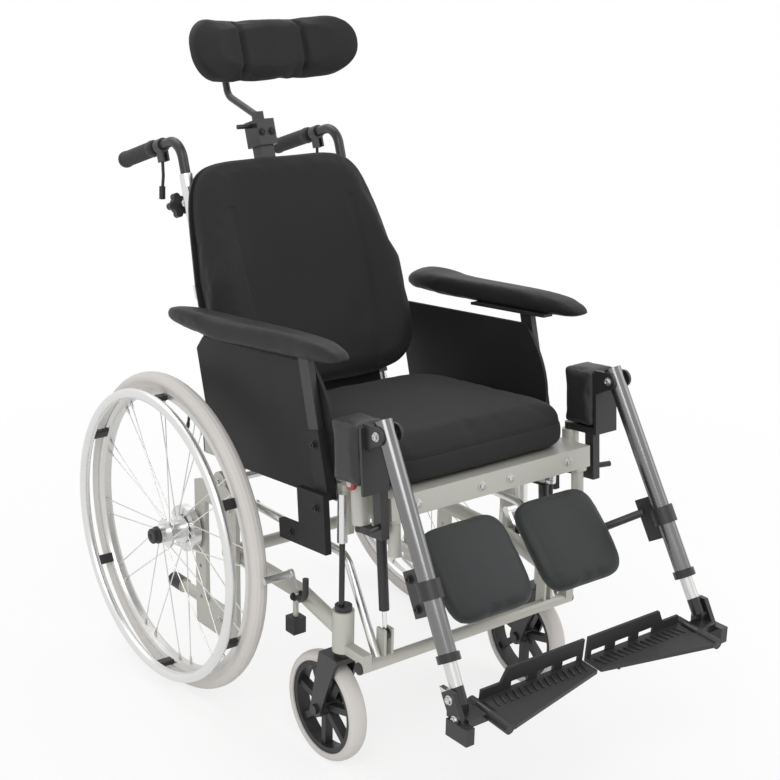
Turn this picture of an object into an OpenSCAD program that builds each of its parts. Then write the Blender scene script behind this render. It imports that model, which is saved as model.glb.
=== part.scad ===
// A tilt-in-space wheelchair: self-propelling rear wheels, swivelling castors, a seat that tilts
// as a whole, a reclining back with push handles and headrest, and elevating leg supports.
// The front is -Y, the occupant's left is +X and the floor is z = 0.
// Lengths "ahead" are measured forwards from the rear axle.

/* [Rear wheels] */
// Outer radius of a rear tyre
wheel_r = 305; // [290:1:320]
// Distance of a rear tyre's middle outside its axle plate
wheel_out = 49; // [41:1:61]
// Width of a rear tyre
tyre_w = 32; // [26:1:34]
// Height of a rear tyre outside its rim
tyre_h = 28; // [22:1:32]
// Width of a rear rim
rim_w = 22; // [18:1:24]
// Height of a rear rim between tyre and spokes
rim_h = 15; // [10:1:20]
// Radius of the hand rim's centre line
handrim_r = 271; // [262:1:276]
// Radius of the hand rim's tube
handrim_tube_r = 9.5; // [8:0.5:11]
// Distance of the hand rim outside the tyre's middle
handrim_out = 45; // [40:1:52]
// Number of tabs that hold a hand rim
tab_count = 6; // [4:1:8]
// Number of spokes in a rear wheel
spoke_count = 24; // [16:2:32]
// Radius of a spoke
spoke_r = 1.1; // [0.8:0.1:1.5]
// Radius of a rear hub between its flanges
hub_r = 17; // [14:1:20]
// Radius of the hub's spoke flanges
flange_r = 27; // [23:1:32]
// Radius of the brake drum at the hub's inner side
drum_r = 45; // [38:1:52]
// Radius of the rear axle
axle_r = 6.35; // [5:0.05:8]

/* [Castors] */
// Outer radius of a castor tyre
castor_r = 100; // [90:1:100]
// Width of a castor tyre
castor_w = 34; // [26:1:38]
// Distance of a castor's swivel line outside the seat frame
castor_out = 12; // [8:1:16]
// Distance of a castor's swivel line ahead of the rear axle
castor_ahead = 453; // [440:1:460]
// Distance of the castor axle behind its swivel line
castor_trail = 44; // [36:1:50]
// Radius of the swivel stem
stem_r = 10; // [8:0.5:12]
// Height of the castor housing
housing_h = 75; // [60:1:76]
// Radius of the castor housing
housing_r = 19; // [16:0.5:22]
// Number of spokes in a castor wheel
castor_spokes = 7; // [5:1:9]

/* [Base] */
// Radius of the side arms
arm_r = 14.5; // [12:0.5:14.5]
// Height of the side arms' centre line behind the castors
arm_z = 286; // [280:1:296]
// Distance of the front cross tube ahead of the rear axle
cross_ahead = 511; // [500:1:520]
// Height of the front cross tube
cross_z = 216; // [212:1:224]
// Radius of the front cross tube
cross_r = 11; // [9:0.5:11]
// Radius of the bright braces
brace_r = 7.5; // [6:0.5:8]
// Height of the braces' level stretch
brace_z = 380; // [372:1:384]
// Thickness of an axle plate
plate_t = 9; // [6:0.5:9]
// Distance of an axle plate's inner face outside the seat frame
plate_out = 27; // [27:0.5:28]
// Distance of the seat pivot ahead of the rear axle
pivot_ahead = 100; // [92:1:106]
// Height of the seat pivot
pivot_z = 425; // [420:1:430]
// Radius of the anti-tipper tube
tipper_r = 11; // [9:0.5:12]
// Length of the anti-tipper tube behind its hinge
tipper_l = 212; // [180:1:230]

/* [Seat] */
// Rest tilt of the seat
seat_tilt = 5; // [3:0.5:7]
// Half the width of the seat frame
frame_half = 224; // [221:1:225]
// Width of a side rail
rail_w = 28; // [24:1:30]
// Height of the seat rails
rail_h = 38; // [34:1:40]
// Height of the rails' top above the seat pivot
rail_top = 67; // [64:1:70]
// Distance of the seat frame's front face ahead of the seat pivot
seat_front = 469; // [463:1:472]
// Distance of the seat cushion's sides inside the seat frame's
cushion_in = 7; // [6:1:19]
// Height of the seat cushion at its sides
cushion_h = 76; // [60:1:80]
// Extra height of the seat cushion's crown
cushion_crown = 10; // [0:1:14]
// Length of the seat cushion
cushion_l = 450; // [430:1:452]

/* [Arms] */
// Thickness of a side panel
panel_t = 6; // [4:0.5:7]
// Height of a side panel's top edge above the seat pivot
panel_top = 262; // [230:1:264]
// Length of an arm pad
pad_l = 508; // [460:1:515]
// Thickness of an arm pad
pad_h = 36; // [28:1:40]
// Height of an arm pad's underside above the seat pivot
pad_z = 283; // [281:1:290]
// Half the width of an arm pad
pad_half = 37; // [30:1:38]

/* [Back] */
// Recline of the back against the seat at rest
back_recline = 13; // [10:0.5:16]
// Distance of the back hinge behind the seat pivot
hinge_back = 66; // [62:1:70]
// Height of the back hinge above the seat pivot
hinge_up = 41; // [38:1:44]
// Distance of a back cane inside the seat frame's side
cane_in = 43; // [42:0.5:48]
// Radius of a back cane
cane_r = 12.5; // [11.5:0.1:13]
// Height of the canes' upper end above the back hinge
cane_top = 518; // [500:1:520]
// Radius of the push handle's tube
handle_r = 9.5; // [8:0.1:9.9]
// Height of the push handles above the back hinge
handle_z = 585; // [570:1:600]
// Distance of the grip's free end behind the canes
handle_l = 224; // [205:1:240]
// Radius of a hand grip
grip_r = 16.5; // [14:0.5:18]
// Length of a hand grip
grip_l = 132; // [100:1:136]
// Distance of the back cushion's widest place outside the seat frame
back_out = 1; // [0:0.5:4]
// Height of the back cushion's lower edge above the back hinge
back_low = 74; // [72:1:80]
// Height of the back cushion's upper edge above the back hinge
back_high = 541; // [510:1:542]
// Thickness of the back cushion in its middle
back_pad_t = 42; // [34:1:50]
// Extra depth of the back cushion's side bolsters
bolster_t = 46; // [20:1:50]
// Height of the headrest's middle above the back hinge
headrest_z = 729; // [720:1:740]
// Half the width of the headrest
headrest_half = 187; // [150:1:195]
// Height of the headrest
headrest_h = 122; // [100:1:126]
// Thickness of the headrest's padding
headrest_t = 58; // [40:1:62]
// Distance by which the headrest's ends curve forwards
headrest_wing = 52; // [30:1:60]

/* [Legs] */
// Distance of the hanger's swing line ahead of the seat pivot
swing_ahead = 405; // [402:1:408]
// Distance of the hanger's swing line outside the seat frame
swing_out = 15; // [14:0.5:16]
// Distance of the knee hinge ahead of the seat pivot
knee_ahead = 504; // [502:1:510]
// Height of the knee hinge above the seat pivot
knee_up = 187; // [184:1:190]
// Distance of the knee hinge outside the hanger's swing line
knee_out = 15.5; // [15:0.5:17]
// Pitch of the leg tubes against the seat at rest
leg_pitch = 24.9; // [22:0.1:27]
// Outward lean of the leg tubes
leg_lean_angle = 1.9; // [1.5:0.1:2.2]
// Length of a leg tube below the knee hinge
leg_l = 360; // [350:1:366]
// Radius of a leg tube
leg_r = 15; // [14:0.5:15.5]
// Radius of an extension tube
extension_r = 11; // [9:0.5:11.5]
// Distance of the footplate carrier down the leg from the knee hinge
foot_down = 427; // [424:1:440]
// Slope of a footplate towards its front edge
foot_slope = 5; // [2:1:8]
// Depth of a footplate at its outer side
foot_depth = 86; // [76:1:92]
// Thickness of a footplate
foot_t = 7; // [5:0.5:8]
// Height of the footplate's rear edge
heel_h = 42; // [25:1:44]
// Width of a calf pad
calf_w = 188; // [150:1:190]
// Height of a calf pad
calf_h = 178; // [140:1:180]
// Thickness of a calf pad
calf_t = 38; // [28:1:40]
// Pitch of the calf pads from upright
calf_pitch = 43; // [38:1:46]
// Distance of the calf pads' arms down the leg from the knee hinge
calf_down = 248; // [240:1:256]

/* [Hidden] */
$fn = 48;
left = 1;
right = -1;
sides = [right, left];
// Overrun of cuts
cut = 2;
// Radial clearance of hinges and slides
play = 0.05;
// Overlap of straight runs with bends, and the swelling of bends that takes it up
bend_lap = 0.5;
bend_swell = 0.05;
// Gap between pieces that rest by each other
rest_gap = 0.3;

// Colours
frame_colour = [0.66, 0.64, 0.58];
black_colour = [0.13, 0.13, 0.14];
pad_colour = [0.2, 0.2, 0.21];
bright_colour = [0.78, 0.79, 0.8];
tyre_colour = [0.72, 0.72, 0.7];
dark_metal_colour = [0.42, 0.42, 0.43];

// Places across the chair, outwards from its middle
panel_out = 12;
panel_x = frame_half + panel_out;
castor_x = frame_half + castor_out;
plate_x = frame_half + plate_out;
wheel_x = plate_x + wheel_out;
handrim_x = wheel_x + handrim_out;
tipper_in = 15;
tipper_x = plate_x - tipper_in;
brace_in = 46.5;
brace_x = plate_x - brace_in;
level_out = 19;
level_x = frame_half + level_out;
spring_in = 38;
spring_x = frame_half - spring_in;
support_out = 16;
support_x = frame_half + support_out;
front_post_in = 16;
front_post_x = frame_half - front_post_in;
cushion_half = frame_half - cushion_in;
pad_out = 35;
pad_centre_x = panel_x + pad_out;
cane_x = frame_half - cane_in;
back_half = frame_half + back_out;
swing_x = frame_half + swing_out;
knee_x = swing_x + knee_out;

// Rear wheel
bead_r = wheel_r - tyre_h;
rim_in_r = bead_r - rim_h;
rim_wall = 3;
hub_inner = 35;
hub_outer = 34;
hub_in = wheel_x - hub_inner;
hub_out = wheel_x + hub_outer;
drum_w = 15;
flange_t = 4;
flange_spread = 16;
hub_cap_r = 14;
hub_cap_l = 11;
tab_w = 16;
tab_t = 6;
tyre_foot_share = 0.8;
spoke_lean_angle = 34;

// Castors
castor_tyre_h = 16;
castor_rim_r = castor_r - castor_tyre_h;
castor_rim_wall = 10;
castor_rim_in = 4;
castor_rim_w = castor_w - 2 * castor_rim_in;
castor_hub_r = 16;
castor_hub_out = 3;
castor_hub_w = castor_w + 2 * castor_hub_out;
castor_spoke_w = 12;
castor_axle_r = 6;
fork_t = 6;
fork_leg_r = 15;
fork_gap = castor_hub_w / 2 + rest_gap;
crown_t = 10;
crown_over = 6;
crown_z = castor_r * 2 + crown_over;
crown_half = 17;
crown_rear = 34;
bearing_wall = 5;
bearing_r = stem_r + bearing_wall;
bearing_h = 8.7;
bearing_top = crown_z + crown_t + bearing_h;
housing_z = bearing_top + rest_gap;
housing_top = housing_z + housing_h;
stem_cap_h = 9;
fork_bolt_r = 9;
fork_bolt_h = 5;

// Base frame and its plates
arm_fall_run = 120;
arm_fall = 24;
arm_bend = 60;
arm_lug_w = 34;
arm_lug_h = 22;
rear_cross_ahead = 92;
rear_cross_r = 12;
cross_over = 8;
cross_lug_w = 18;
cross_lug_h = 15;
plate_front = 155;
plate_rear = 12;
plate_low = 112;
plate_column = 36;
plate_foot = 58;
plate_slot_top = 372;
axle_boss_r = 24;
pivot_boss_r = 20;
pivot_pin_r = 8;
pivot_stub_r = 14;
pivot_head_r = 12;
pivot_head_t = 4;
pivot_ear_t = 8;
adjust_hole_r = 4;
adjust_holes = 6;
adjust_step = 32;
tipper_ahead = 98;
tipper_z = 148;
tipper_pin_r = 6;
tipper_eye_r = 14;
tipper_tip_r = 14.5;
tipper_tip_l = 42;
brace_knee_ahead = 417;
brace_end_ahead = 134;
brace_bend = 34;
level_post_ahead = 322;
level_post_r = 5;
level_post_drop = 62;
level_foot_w = 26;
level_foot_h = 30;

// Wheel locks
lock_ahead = 345;
lock_up = 6.4;
lock_z = arm_height(lock_ahead) + lock_up;
lock_pin_r = 5;
lock_pin_l = 12;
lock_t = 6;
lock_eye_r = 13;
shoe_back = 22;
shoe_ahead = lock_ahead - shoe_back;
shoe_up = 34;
shoe_z = lock_z + shoe_up;
shoe_r = 7;
shoe_l = 54;
lock_lever_r = 5.5;
lock_lever_run = 30;
lock_lever_rise = 44;
lock_lever_bend = 20;

// Tilt springs
spring_low_ahead = 505;
spring_low_z = 262;
spring_top_ahead = 388;
spring_top_up = 3;
spring_cylinder_r = 9;
spring_cylinder_l = 158;
spring_rod_r = 4;
spring_eye_r = 8;
spring_eye_w = 9;
spring_pin_r = 4;
spring_hidden = 108;
spring_neck = 17;
spring_neck_r = 4.4;
open_pin_r = 2.2;
open_eye_bore = 5.6;
clevis_t = 5;
clevis_gap = 10.4;
clevis_half = 11;
clevis_under = 10;

// Support legs
support_ahead = 453;
support_rod_r = 5;
support_sleeve_r = 9;
support_sleeve_z = 425;
support_sleeve_top = 512;
saddle_w = 12;
saddle_half = 13;
saddle_drop = 16;

// Seat
seat_rear = 104;
plate_thick = 4;
cross_box_w = 24;
cross_box_h = 26;
mid_cross_ahead = 232;
rear_cross_back = 2;
receiver_r = 15;
swing_pin_r = 10;
receiver_low = 14.3;
receiver_high = 84.7;
receiver_web_half = 12;
front_post_r = 11;
front_post_ahead = 453;
front_post_l = 66;
front_flange_r = 17;
front_flange_t = 6;
hinge_pin_r = 6;
hinge_eye_r = 16;
hinge_head_t = 4;
hinge_head_r = 10;
cushion_square = 6;
cushion_pull_share = 0.025;
cushion_gap = 0.5;
spacer_w = 26;
spacer_h = 16;
cushion_drop_share = 0.3;
cushion_edge_share = 0.4;

// Side panels and arms
panel_low = 36;
panel_rear = 46;
panel_lean = 34;
panel_front = 325;
panel_bulge = 22;
panel_set = 34;
panel_corner = 24;
panel_steps = 16;
sleeve_w = 34;
sleeve_t = 18;
sleeve_wall = 3;
sleeve_let_in = 1;
sleeve_l = 118;
sleeve_low = 40;
cover_t = 12;
cover_lap = 14;
cover_down = 50;
cover_back = 268;
cover_foot_back = 208;
cover_foot_h = 34;
post_ahead = 327;
post_tilt = 10.3;
post_drop = 12;
bracket_l = 190;
bracket_w = 22;
bracket_t = 5;
pad_rear = 88;
pad_flare = 14;
pad_square = 4;
pad_front_share = 0.7;
pad_drop_share = 0.25;
pad_edge_share = 0.375;
pad_flare_shares = [0.13, 0.47];

// Back
cushion_ahead = 19.6;
shell_t = 4;
shell_pad_w = 20;
shell_pad_h = 26;
back_bar_r = 9;
low_bar_up = 95;
mid_bar_up = 290;
high_bar_up = 480;
back_bars = [low_bar_up, mid_bar_up, high_bar_up];
lever_l = 60;
lever_bar_r = 8;
cane_bore_low = 392;
handle_foot = 428;
handle_bend = 38;
boss_r = 9;
boss_l = 6;
knob_up = 466;
knob_screw_r = 4;
knob_back = 38;
knob_r = 17;
knob_lobe_r = 7;
knob_lobes = 5;
knob_t = 14;
bracket_up = 298;
bracket_back = 14;
bracket_high = 26;
clamp_half = 20;
clamp_low = 556;
clamp_high = 606;
clamp_depth = 23;
neck_half = 15;
bar_half = 8.5;
bar_foot = 524;
head_arm_r = 7;
head_arm_bend = 26;
head_arm_reach = 92;
head_arm_step = 30;
head_pivot_ahead = 24;
head_pivot_z = 742;
head_pin_r = 5;
head_pin_l = 30;
head_plate_t = 5;
head_plate_half = 40;
head_ear_t = 5;
head_ear_gap = 8.4;
head_square = 3.4;
head_flat_share = 0.2;
head_curve = 1.8;
head_thin_share = 0.18;
clamp_lever_l = 30;
clamp_lever_r = 4.5;

// Brake levers on the push handles
lever_block_l = 20;
lever_block_gap = 10;
lever_block_back = handle_l - grip_l - lever_block_gap - lever_block_l;
lever_block_r = 13.5;
lever_pin_in = 14;
lever_pin_back = lever_block_back + lever_pin_in;
lever_pin_down = 24;
lever_pin_r = 3;
lever_t = 7;
lever_bar_t = 6;
lever_ear_t = 4;
lever_eye_r = 7;
lever_reach = 62;
lever_grip_r = 6;
lever_sweep = 24;
lever_tip_shares = [0.82, 1.18];

// Hangers and knee pads
hanger_arm_t = 12;
hanger_bar_w = 16;
hanger_bar_l = 20;
hanger_front = 470;
hanger_core_t = 6;
knee_pad_inner = 13;
knee_pad_outer = 51;
knee_pad_in = swing_x - knee_pad_inner;
knee_pad_out = swing_x + knee_pad_outer;
knee_pad_low = 97;
knee_pad_high = 203;
knee_pad_front = 470;
knee_pad_rear = 398;
knee_ear_t = 5;
knee_ear_r = 15;
knee_ear_half = 16.4;
knee_pin_r = 5;
latch_r = 5;
latch_l = 34;
latch_up = 24;
button_r = 5.5;
button_l = 12;
knee_square = 7;

// Legs
leg_head = 22;
leg_bore_top = 128;
collar_r = 19;
collar_l = 13;
extension_top = 158;
carrier_t = 9;
carrier_up = 25;
carrier_down = 43;
carrier_half = 16;
carrier_toe_l = 44;
carrier_toe_w = 16;
carrier_toe_h = 28;
foot_hinge_in = 33;
foot_hinge_down = 12;
knuckle_r = 9;
knuckle_l = 30;
foot_pin_r = 4.5;
foot_pin_rear = 17;
foot_middle = 4.7;
foot_reach = knee_x + foot_down * sin(leg_lean_angle) - foot_hinge_in - foot_middle;
foot_rear = 12;
foot_pin_front = foot_depth - foot_rear;
foot_inner_depth = 40;
foot_rib_h = 9;
foot_rib_t = 4;
foot_slot_count = 3;
foot_slot_l = 36;
foot_slot_w = 12;
foot_in = 12;
heel_t = 5;
heel_low = 19;
heel_from = 52;
heel_rise = 12;
calf_ring_r = 20;
calf_ring_l = 30;
calf_arm_r = 7;
calf_ball_r = 9;
calf_bracket_t = 8;
calf_bracket_l = 76;
calf_bracket_back = 52;
calf_middle = 9.7;
calf_in = knee_x + calf_down * sin(leg_lean_angle) - calf_middle - calf_w / 2;
calf_behind = 56;
calf_under = 16;
calf_centre = [-calf_in, calf_behind, -calf_under];
elbow_in = 1;
elbow_behind = 46;
elbow_under = 10;
calf_elbow = [-elbow_in, elbow_behind, -elbow_under];
shoulder_in = 67;
shoulder_behind = 106;
shoulder_under = 53;
calf_shoulder = [-shoulder_in, shoulder_behind, -shoulder_under];
calf_plate_r = 30;
calf_plate_t = 6;
calf_square = 4.5;
calf_pull_share = 0.01;
calf_drop_share = 0.3;

// Recline spring, a strut between seat and back
strut_ahead = 232;
strut_up = 6;
strut_r = 11;
strut_l = 176;
strut_rod_r = 5;
strut_hidden = 40;
strut_neck = 17;
strut_neck_r = 5.5;
strut_ear_t = 5;
strut_eye_w = 12;
strut_eye_r = 11;
strut_pin_r = 5;
strut_open_bore = 10.5;

// Where the chair's middle lies: the front edge of the footplates and the free ends of the grips
function turned(p, a) = [p[0] * cos(a) + p[1] * sin(a), -p[0] * sin(a) + p[1] * cos(a)];
function from_seat(p) = [-pivot_ahead, pivot_z] + turned(p, seat_tilt);
knee = from_seat([-knee_ahead, knee_up]);
chair_pitch = leg_pitch + seat_tilt;
foot_at = knee - foot_down * cos(leg_lean_angle) * [sin(chair_pitch), cos(chair_pitch)];
foot_tip = foot_at + [0, -foot_hinge_down] + turned([foot_rear - foot_depth, knuckle_r], -foot_slope);
grip_tip = from_seat([hinge_back, hinge_up] + turned([handle_l, handle_z + grip_r], back_recline));
axle_y = -(foot_tip[0] + grip_tip[0]) / 2;

module chair() translate([0, axle_y, 0]) children();
module seat() chair() translate([0, -pivot_ahead, pivot_z]) rotate([-seat_tilt, 0, 0]) children();
module back() seat() translate([0, hinge_back, hinge_up]) rotate([-back_recline, 0, 0]) children();
module leg(side) seat() translate([side * knee_x, -knee_ahead, knee_up])
    rotate([-leg_pitch, 0, 0]) rotate([0, -side * leg_lean_angle, 0]) children();
// A place down the leg, with the chair's own axes
module leg_place(side, down) leg(side) translate([0, 0, -down]) rotate([0, side * leg_lean_angle, 0])
    rotate([leg_pitch + seat_tilt, 0, 0]) children();
module foot(side) leg_place(side, foot_down) translate([-side * foot_hinge_in, 0, -foot_hinge_down])
    rotate([foot_slope, 0, 0]) children();

// Height of a side arm's centre line that far ahead of the rear axle
function arm_height(ahead) = arm_z
    - arm_fall * max(0, (ahead - castor_ahead + arm_fall_run) / arm_fall_run);

// A box between two corners
module block(low, high) translate(low) cube(high - low);
// The same box at the left or the right side
module side_block(side, low, high) {
    x = side > 0 ? [low[0], high[0]] : [-high[0], -low[0]];
    block([x[0], low[1], low[2]], [x[1], high[1], high[2]]);
}
// A round bar between two points
module rod(from, to, r) {
    run = to - from;
    length = norm(run);
    translate(from) rotate([0, acos(run[2] / length), atan2(run[1], run[0])]) cylinder(h = length, r = r);
}
// A round bar across the chair
module cross_bar(x0, x1, y, z, r) translate([min(x0, x1), y, z]) rotate([0, 90, 0])
    cylinder(h = abs(x1 - x0), r = r);
// A plate of an outline given in y and z
module upright_plate(x, t) translate([x, 0, 0]) rotate([90, 0, 90]) linear_extrude(t) children();
module side_plate(side, x, t) upright_plate(side > 0 ? x : -x - t, t) children();

function unit(v) = v / norm(v);
// A bent round bar in the XY plane
module pipe(points, r, bend) {
    n = len(points);
    function corner(i) = let (u = unit(points[i - 1] - points[i]), v = unit(points[i + 1] - points[i]),
        half = acos(u * v) / 2) [u, v, half, bend / tan(half)];
    function start(i) = i == 0 ? points[0] : points[i] + corner(i)[1] * (corner(i)[3] - bend_lap);
    function stop(i) = i == n - 1 ? points[i] : points[i] + corner(i)[0] * (corner(i)[3] - bend_lap);
    for (i = [0:n - 2]) rod(concat(start(i), 0), concat(stop(i + 1), 0), r);
    if (n > 2) for (i = [1:n - 2]) {
        c = corner(i);
        centre = points[i] + unit(c[0] + c[1]) * bend / sin(c[2]);
        first = points[i] + c[0] * c[3] - centre;
        last = points[i] + c[1] * c[3] - centre;
        from = first[0] * last[1] - first[1] * last[0] > 0 ? first : last;
        translate(centre) rotate([0, 0, atan2(from[1], from[0])])
            rotate_extrude(angle = 180 - 2 * c[2]) translate([bend, 0]) circle(r + bend_swell);
    }
}
module side_pipe(x, points, r, bend) translate([x, 0, 0]) rotate([90, 0, 90]) pipe(points, r, bend);

// A ring across the chair
module eye(x, y, z, w, r, bore) translate([x - w / 2, y, z]) rotate([0, 90, 0]) difference() {
    cylinder(h = w, r = r);
    translate([0, 0, -cut]) cylinder(h = w + 2 * cut, r = bore);
}

// A padded form: rings of an outline from a flat underside, up its sides and over its crown
module padded_form(outline, rings, relief, count) {
    n = len(rings);
    around = [for (i = [0:count - 1]) 360 * i / count];
    ring_points = [for (ring = rings) for (a = around) let (p = outline(a) * ring[0])
        [p[0], p[1], relief(p, ring[1])]];
    low = [0, 0, relief([0, 0], rings[0][1])];
    high = [0, 0, relief([0, 0], rings[n - 1][1])];
    lower = [for (k = [0:n - 2]) for (i = [0:count - 1])
        [k * count + i, (k + 1) * count + i, k * count + (i + 1) % count]];
    upper = [for (k = [0:n - 2]) for (i = [0:count - 1])
        [k * count + (i + 1) % count, (k + 1) * count + i, (k + 1) * count + (i + 1) % count]];
    under = [for (i = [0:count - 1]) [i, (i + 1) % count, n * count]];
    over = [for (i = [0:count - 1])
        [(n - 1) * count + (i + 1) % count, (n - 1) * count + i, n * count + 1]];
    polyhedron(concat(ring_points, [low, high]), concat(lower, upper, under, over));
}
// A rounded outline whose sides are drawn in between the corners
function bent(t, square) = sign(t) * pow(abs(t), 2 / square);
function drawn_in(a, half_w, half_l, square, pull) = (1 - pull * pow(cos(2 * a), 2))
    * [half_w * bent(cos(a), square), half_l * bent(sin(a), square)];
function eased(t) = let (s = max(0, min(1, t))) s * s * (3 - 2 * s);
// How far t has come from one share to another
function beyond(t, from, to) = eased((t - from) / (to - from));
// Shares of the outline and of the height from underside to crown
pad_ring_shares = [[0.5, 0], [0.94, 0], [0.985, 0.08], [1, 0.25], [1, 0.5], [0.99, 0.72],
    [0.965, 0.87], [0.92, 0.96], [0.8, 1], [0.55, 1], [0.28, 1]];
small_ring_shares = [[0.6, 0], [0.93, 0.03], [1, 0.25], [1, 0.6], [0.95, 0.85], [0.84, 0.97], [0.5, 1]];

// Base frame: side arms, castor housings, cross tubes and brackets
module base_frame() color(frame_colour) chair() {
    for (s = sides) {
        x = s * castor_x;
        difference() {
            union() {
                translate([x, -castor_ahead, housing_z]) cylinder(h = housing_h, r = housing_r);
                side_pipe(x, [[-castor_ahead + stem_r + play, arm_z - arm_fall],
                    [-castor_ahead + arm_fall_run, arm_z], [-rear_cross_ahead, arm_z]], arm_r, arm_bend);
                side_block(s, [castor_x - cross_lug_w / 2, -cross_ahead - cross_r, cross_z],
                    [castor_x + cross_lug_w / 2, -cross_ahead + cross_r, cross_z + cross_r + cross_lug_h]);
                side_block(s, [castor_x - cross_lug_w / 2, -cross_ahead, housing_z + rest_gap],
                    [castor_x + cross_lug_w / 2, -castor_ahead - stem_r, cross_z + cross_r + cross_lug_h]);
            }
            translate([x, -castor_ahead, housing_z - cut]) cylinder(h = housing_h + 2 * cut,
                r = stem_r + play);
        }
        side_block(s, [castor_x, -rear_cross_ahead - arm_lug_w, arm_z - arm_lug_h / 2],
            [plate_x, -rear_cross_ahead, arm_z + arm_lug_h / 2]);
        // Wheel lock pin
        cross_bar(x, s * (plate_x + lock_pin_l), -lock_ahead, lock_z, lock_pin_r);
        // Level post
        level_z = arm_height(level_post_ahead) - level_post_drop;
        translate([s * level_x, -level_post_ahead, level_z])
            cylinder(h = level_post_drop, r = level_post_r);
        side_block(s, [level_x - level_foot_w / 2, -level_post_ahead - level_foot_w / 2,
            level_z - level_foot_h / 2],
            [level_x + level_foot_w / 2, -level_post_ahead + level_foot_w / 2,
            level_z + level_foot_h / 2]);
        // Lower clevis of a tilt spring
        for (e = [-1, 1]) {
            ear_x = spring_x + e * (clevis_gap + clevis_t) / 2;
            side_block(s, [ear_x - clevis_t / 2, -spring_low_ahead - clevis_half, cross_z],
                [ear_x + clevis_t / 2, -spring_low_ahead + clevis_half, spring_low_z + clevis_half]);
        }
        cross_bar(s * (spring_x - clevis_gap / 2 - clevis_t), s * (spring_x + clevis_gap / 2 + clevis_t),
            -spring_low_ahead, spring_low_z, open_pin_r);
    }
    cross_bar(-castor_x - cross_over, castor_x + cross_over, -cross_ahead, cross_z, cross_r);
    cross_bar(-castor_x, castor_x, -rear_cross_ahead - arm_r, arm_z, rear_cross_r);
}

// Bright braces from the front cross tube up and back to the axle plates
module base_braces() color(bright_colour) chair() for (s = sides) difference() {
    union() {
        side_pipe(s * brace_x, [[-cross_ahead, cross_z], [-brace_knee_ahead, brace_z],
            [-brace_end_ahead, brace_z]], brace_r, brace_bend);
        cross_bar(s * (brace_x - brace_r), s * plate_x, -brace_end_ahead, brace_z, brace_r);
    }
    cross_bar(s * (brace_x - 2 * brace_r), s * (brace_x + 2 * brace_r), -cross_ahead, cross_z, cross_r);
}

// Axle plates with the rear axles, the seat pivots and the anti-tipper hinges
module axle_plates() color(frame_colour) chair() for (s = sides) {
    difference() {
        side_plate(s, plate_x, plate_t) difference() {
            union() {
                polygon([[-plate_front, plate_low], [-plate_rear, plate_low],
                    [-plate_rear, pivot_z - pivot_boss_r], [-pivot_ahead + pivot_boss_r, pivot_z],
                    [-pivot_ahead - pivot_boss_r, pivot_z], [-plate_front, pivot_z - pivot_boss_r]]);
                polygon([[-plate_column, wheel_r - axle_boss_r], [0, wheel_r - axle_boss_r],
                    [0, wheel_r + axle_boss_r], [-plate_column, wheel_r + axle_boss_r]]);
                translate([0, wheel_r]) circle(axle_boss_r);
                translate([-pivot_ahead, pivot_z]) circle(pivot_boss_r);
            }
            polygon([[-plate_front + plate_column, plate_low + plate_foot],
                [-plate_rear - plate_column, plate_low + plate_foot],
                [-plate_rear - plate_column, plate_slot_top],
                [-plate_front + plate_column, plate_slot_top]]);
            for (y = [-plate_front + plate_column / 2, -plate_rear - plate_column / 2],
                k = [0:adjust_holes - 1])
                if (abs(plate_low + plate_foot + k * adjust_step - arm_z) > adjust_step / 2)
                    translate([y, plate_low + plate_foot + k * adjust_step]) circle(adjust_hole_r);
        }
    }
    cross_bar(s * (plate_x + plate_t), s * hub_out, 0, wheel_r, axle_r);
    // Seat pivot
    cross_bar(s * (frame_half + pivot_ear_t + rest_gap), s * plate_x, -pivot_ahead, pivot_z, pivot_stub_r);
    cross_bar(s * (frame_half - rest_gap - pivot_head_t), s * plate_x, -pivot_ahead, pivot_z, pivot_pin_r);
    cross_bar(s * (frame_half - rest_gap - pivot_head_t), s * (frame_half - rest_gap),
        -pivot_ahead, pivot_z, pivot_head_r);
    // Anti-tipper hinge
    cross_bar(s * (tipper_x - tipper_r), s * plate_x, -tipper_ahead, tipper_z, tipper_pin_r);
}

module anti_tipper(side) color(frame_colour) chair() {
    x = side * tipper_x;
    difference() {
        union() {
            cross_bar(x - tipper_r, x + tipper_r, -tipper_ahead, tipper_z, tipper_eye_r);
            rod([x, -tipper_ahead, tipper_z], [x, -tipper_ahead + tipper_l, tipper_z], tipper_r);
            rod([x, -tipper_ahead + tipper_l - tipper_tip_l, tipper_z],
                [x, -tipper_ahead + tipper_l, tipper_z], tipper_tip_r);
        }
        cross_bar(x - tipper_r - cut, x + tipper_r + cut, -tipper_ahead, tipper_z, tipper_pin_r + play);
    }
}

module wheel_lock(side) color(bright_colour) chair() {
    low = plate_x + rest_gap;
    difference() {
        union() {
            side_plate(side, low, lock_t) {
                translate([-lock_ahead, lock_z]) circle(lock_eye_r);
                translate([-shoe_ahead, shoe_z]) circle(lock_eye_r - lock_pin_r);
                polygon([[-lock_ahead - lock_pin_r, lock_z + lock_eye_r / 2],
                    [-lock_ahead + lock_eye_r, lock_z],
                    [-shoe_ahead + shoe_r, shoe_z], [-shoe_ahead - shoe_r, shoe_z]]);
            }
            cross_bar(side * low, side * (low + lock_t + shoe_l), -shoe_ahead, shoe_z, shoe_r);
            side_pipe(side * (low + lock_t / 2 + lock_pin_r), [
                [-lock_ahead - lock_pin_r - play, lock_z],
                [-lock_ahead - lock_lever_run, lock_z],
                [-lock_ahead - lock_lever_run, lock_z + lock_lever_rise]],
                lock_lever_r, lock_lever_bend);
        }
        cross_bar(side * castor_x, side * (plate_x + 2 * lock_pin_l), -lock_ahead, lock_z,
            lock_pin_r + play);
    }
}

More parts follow.
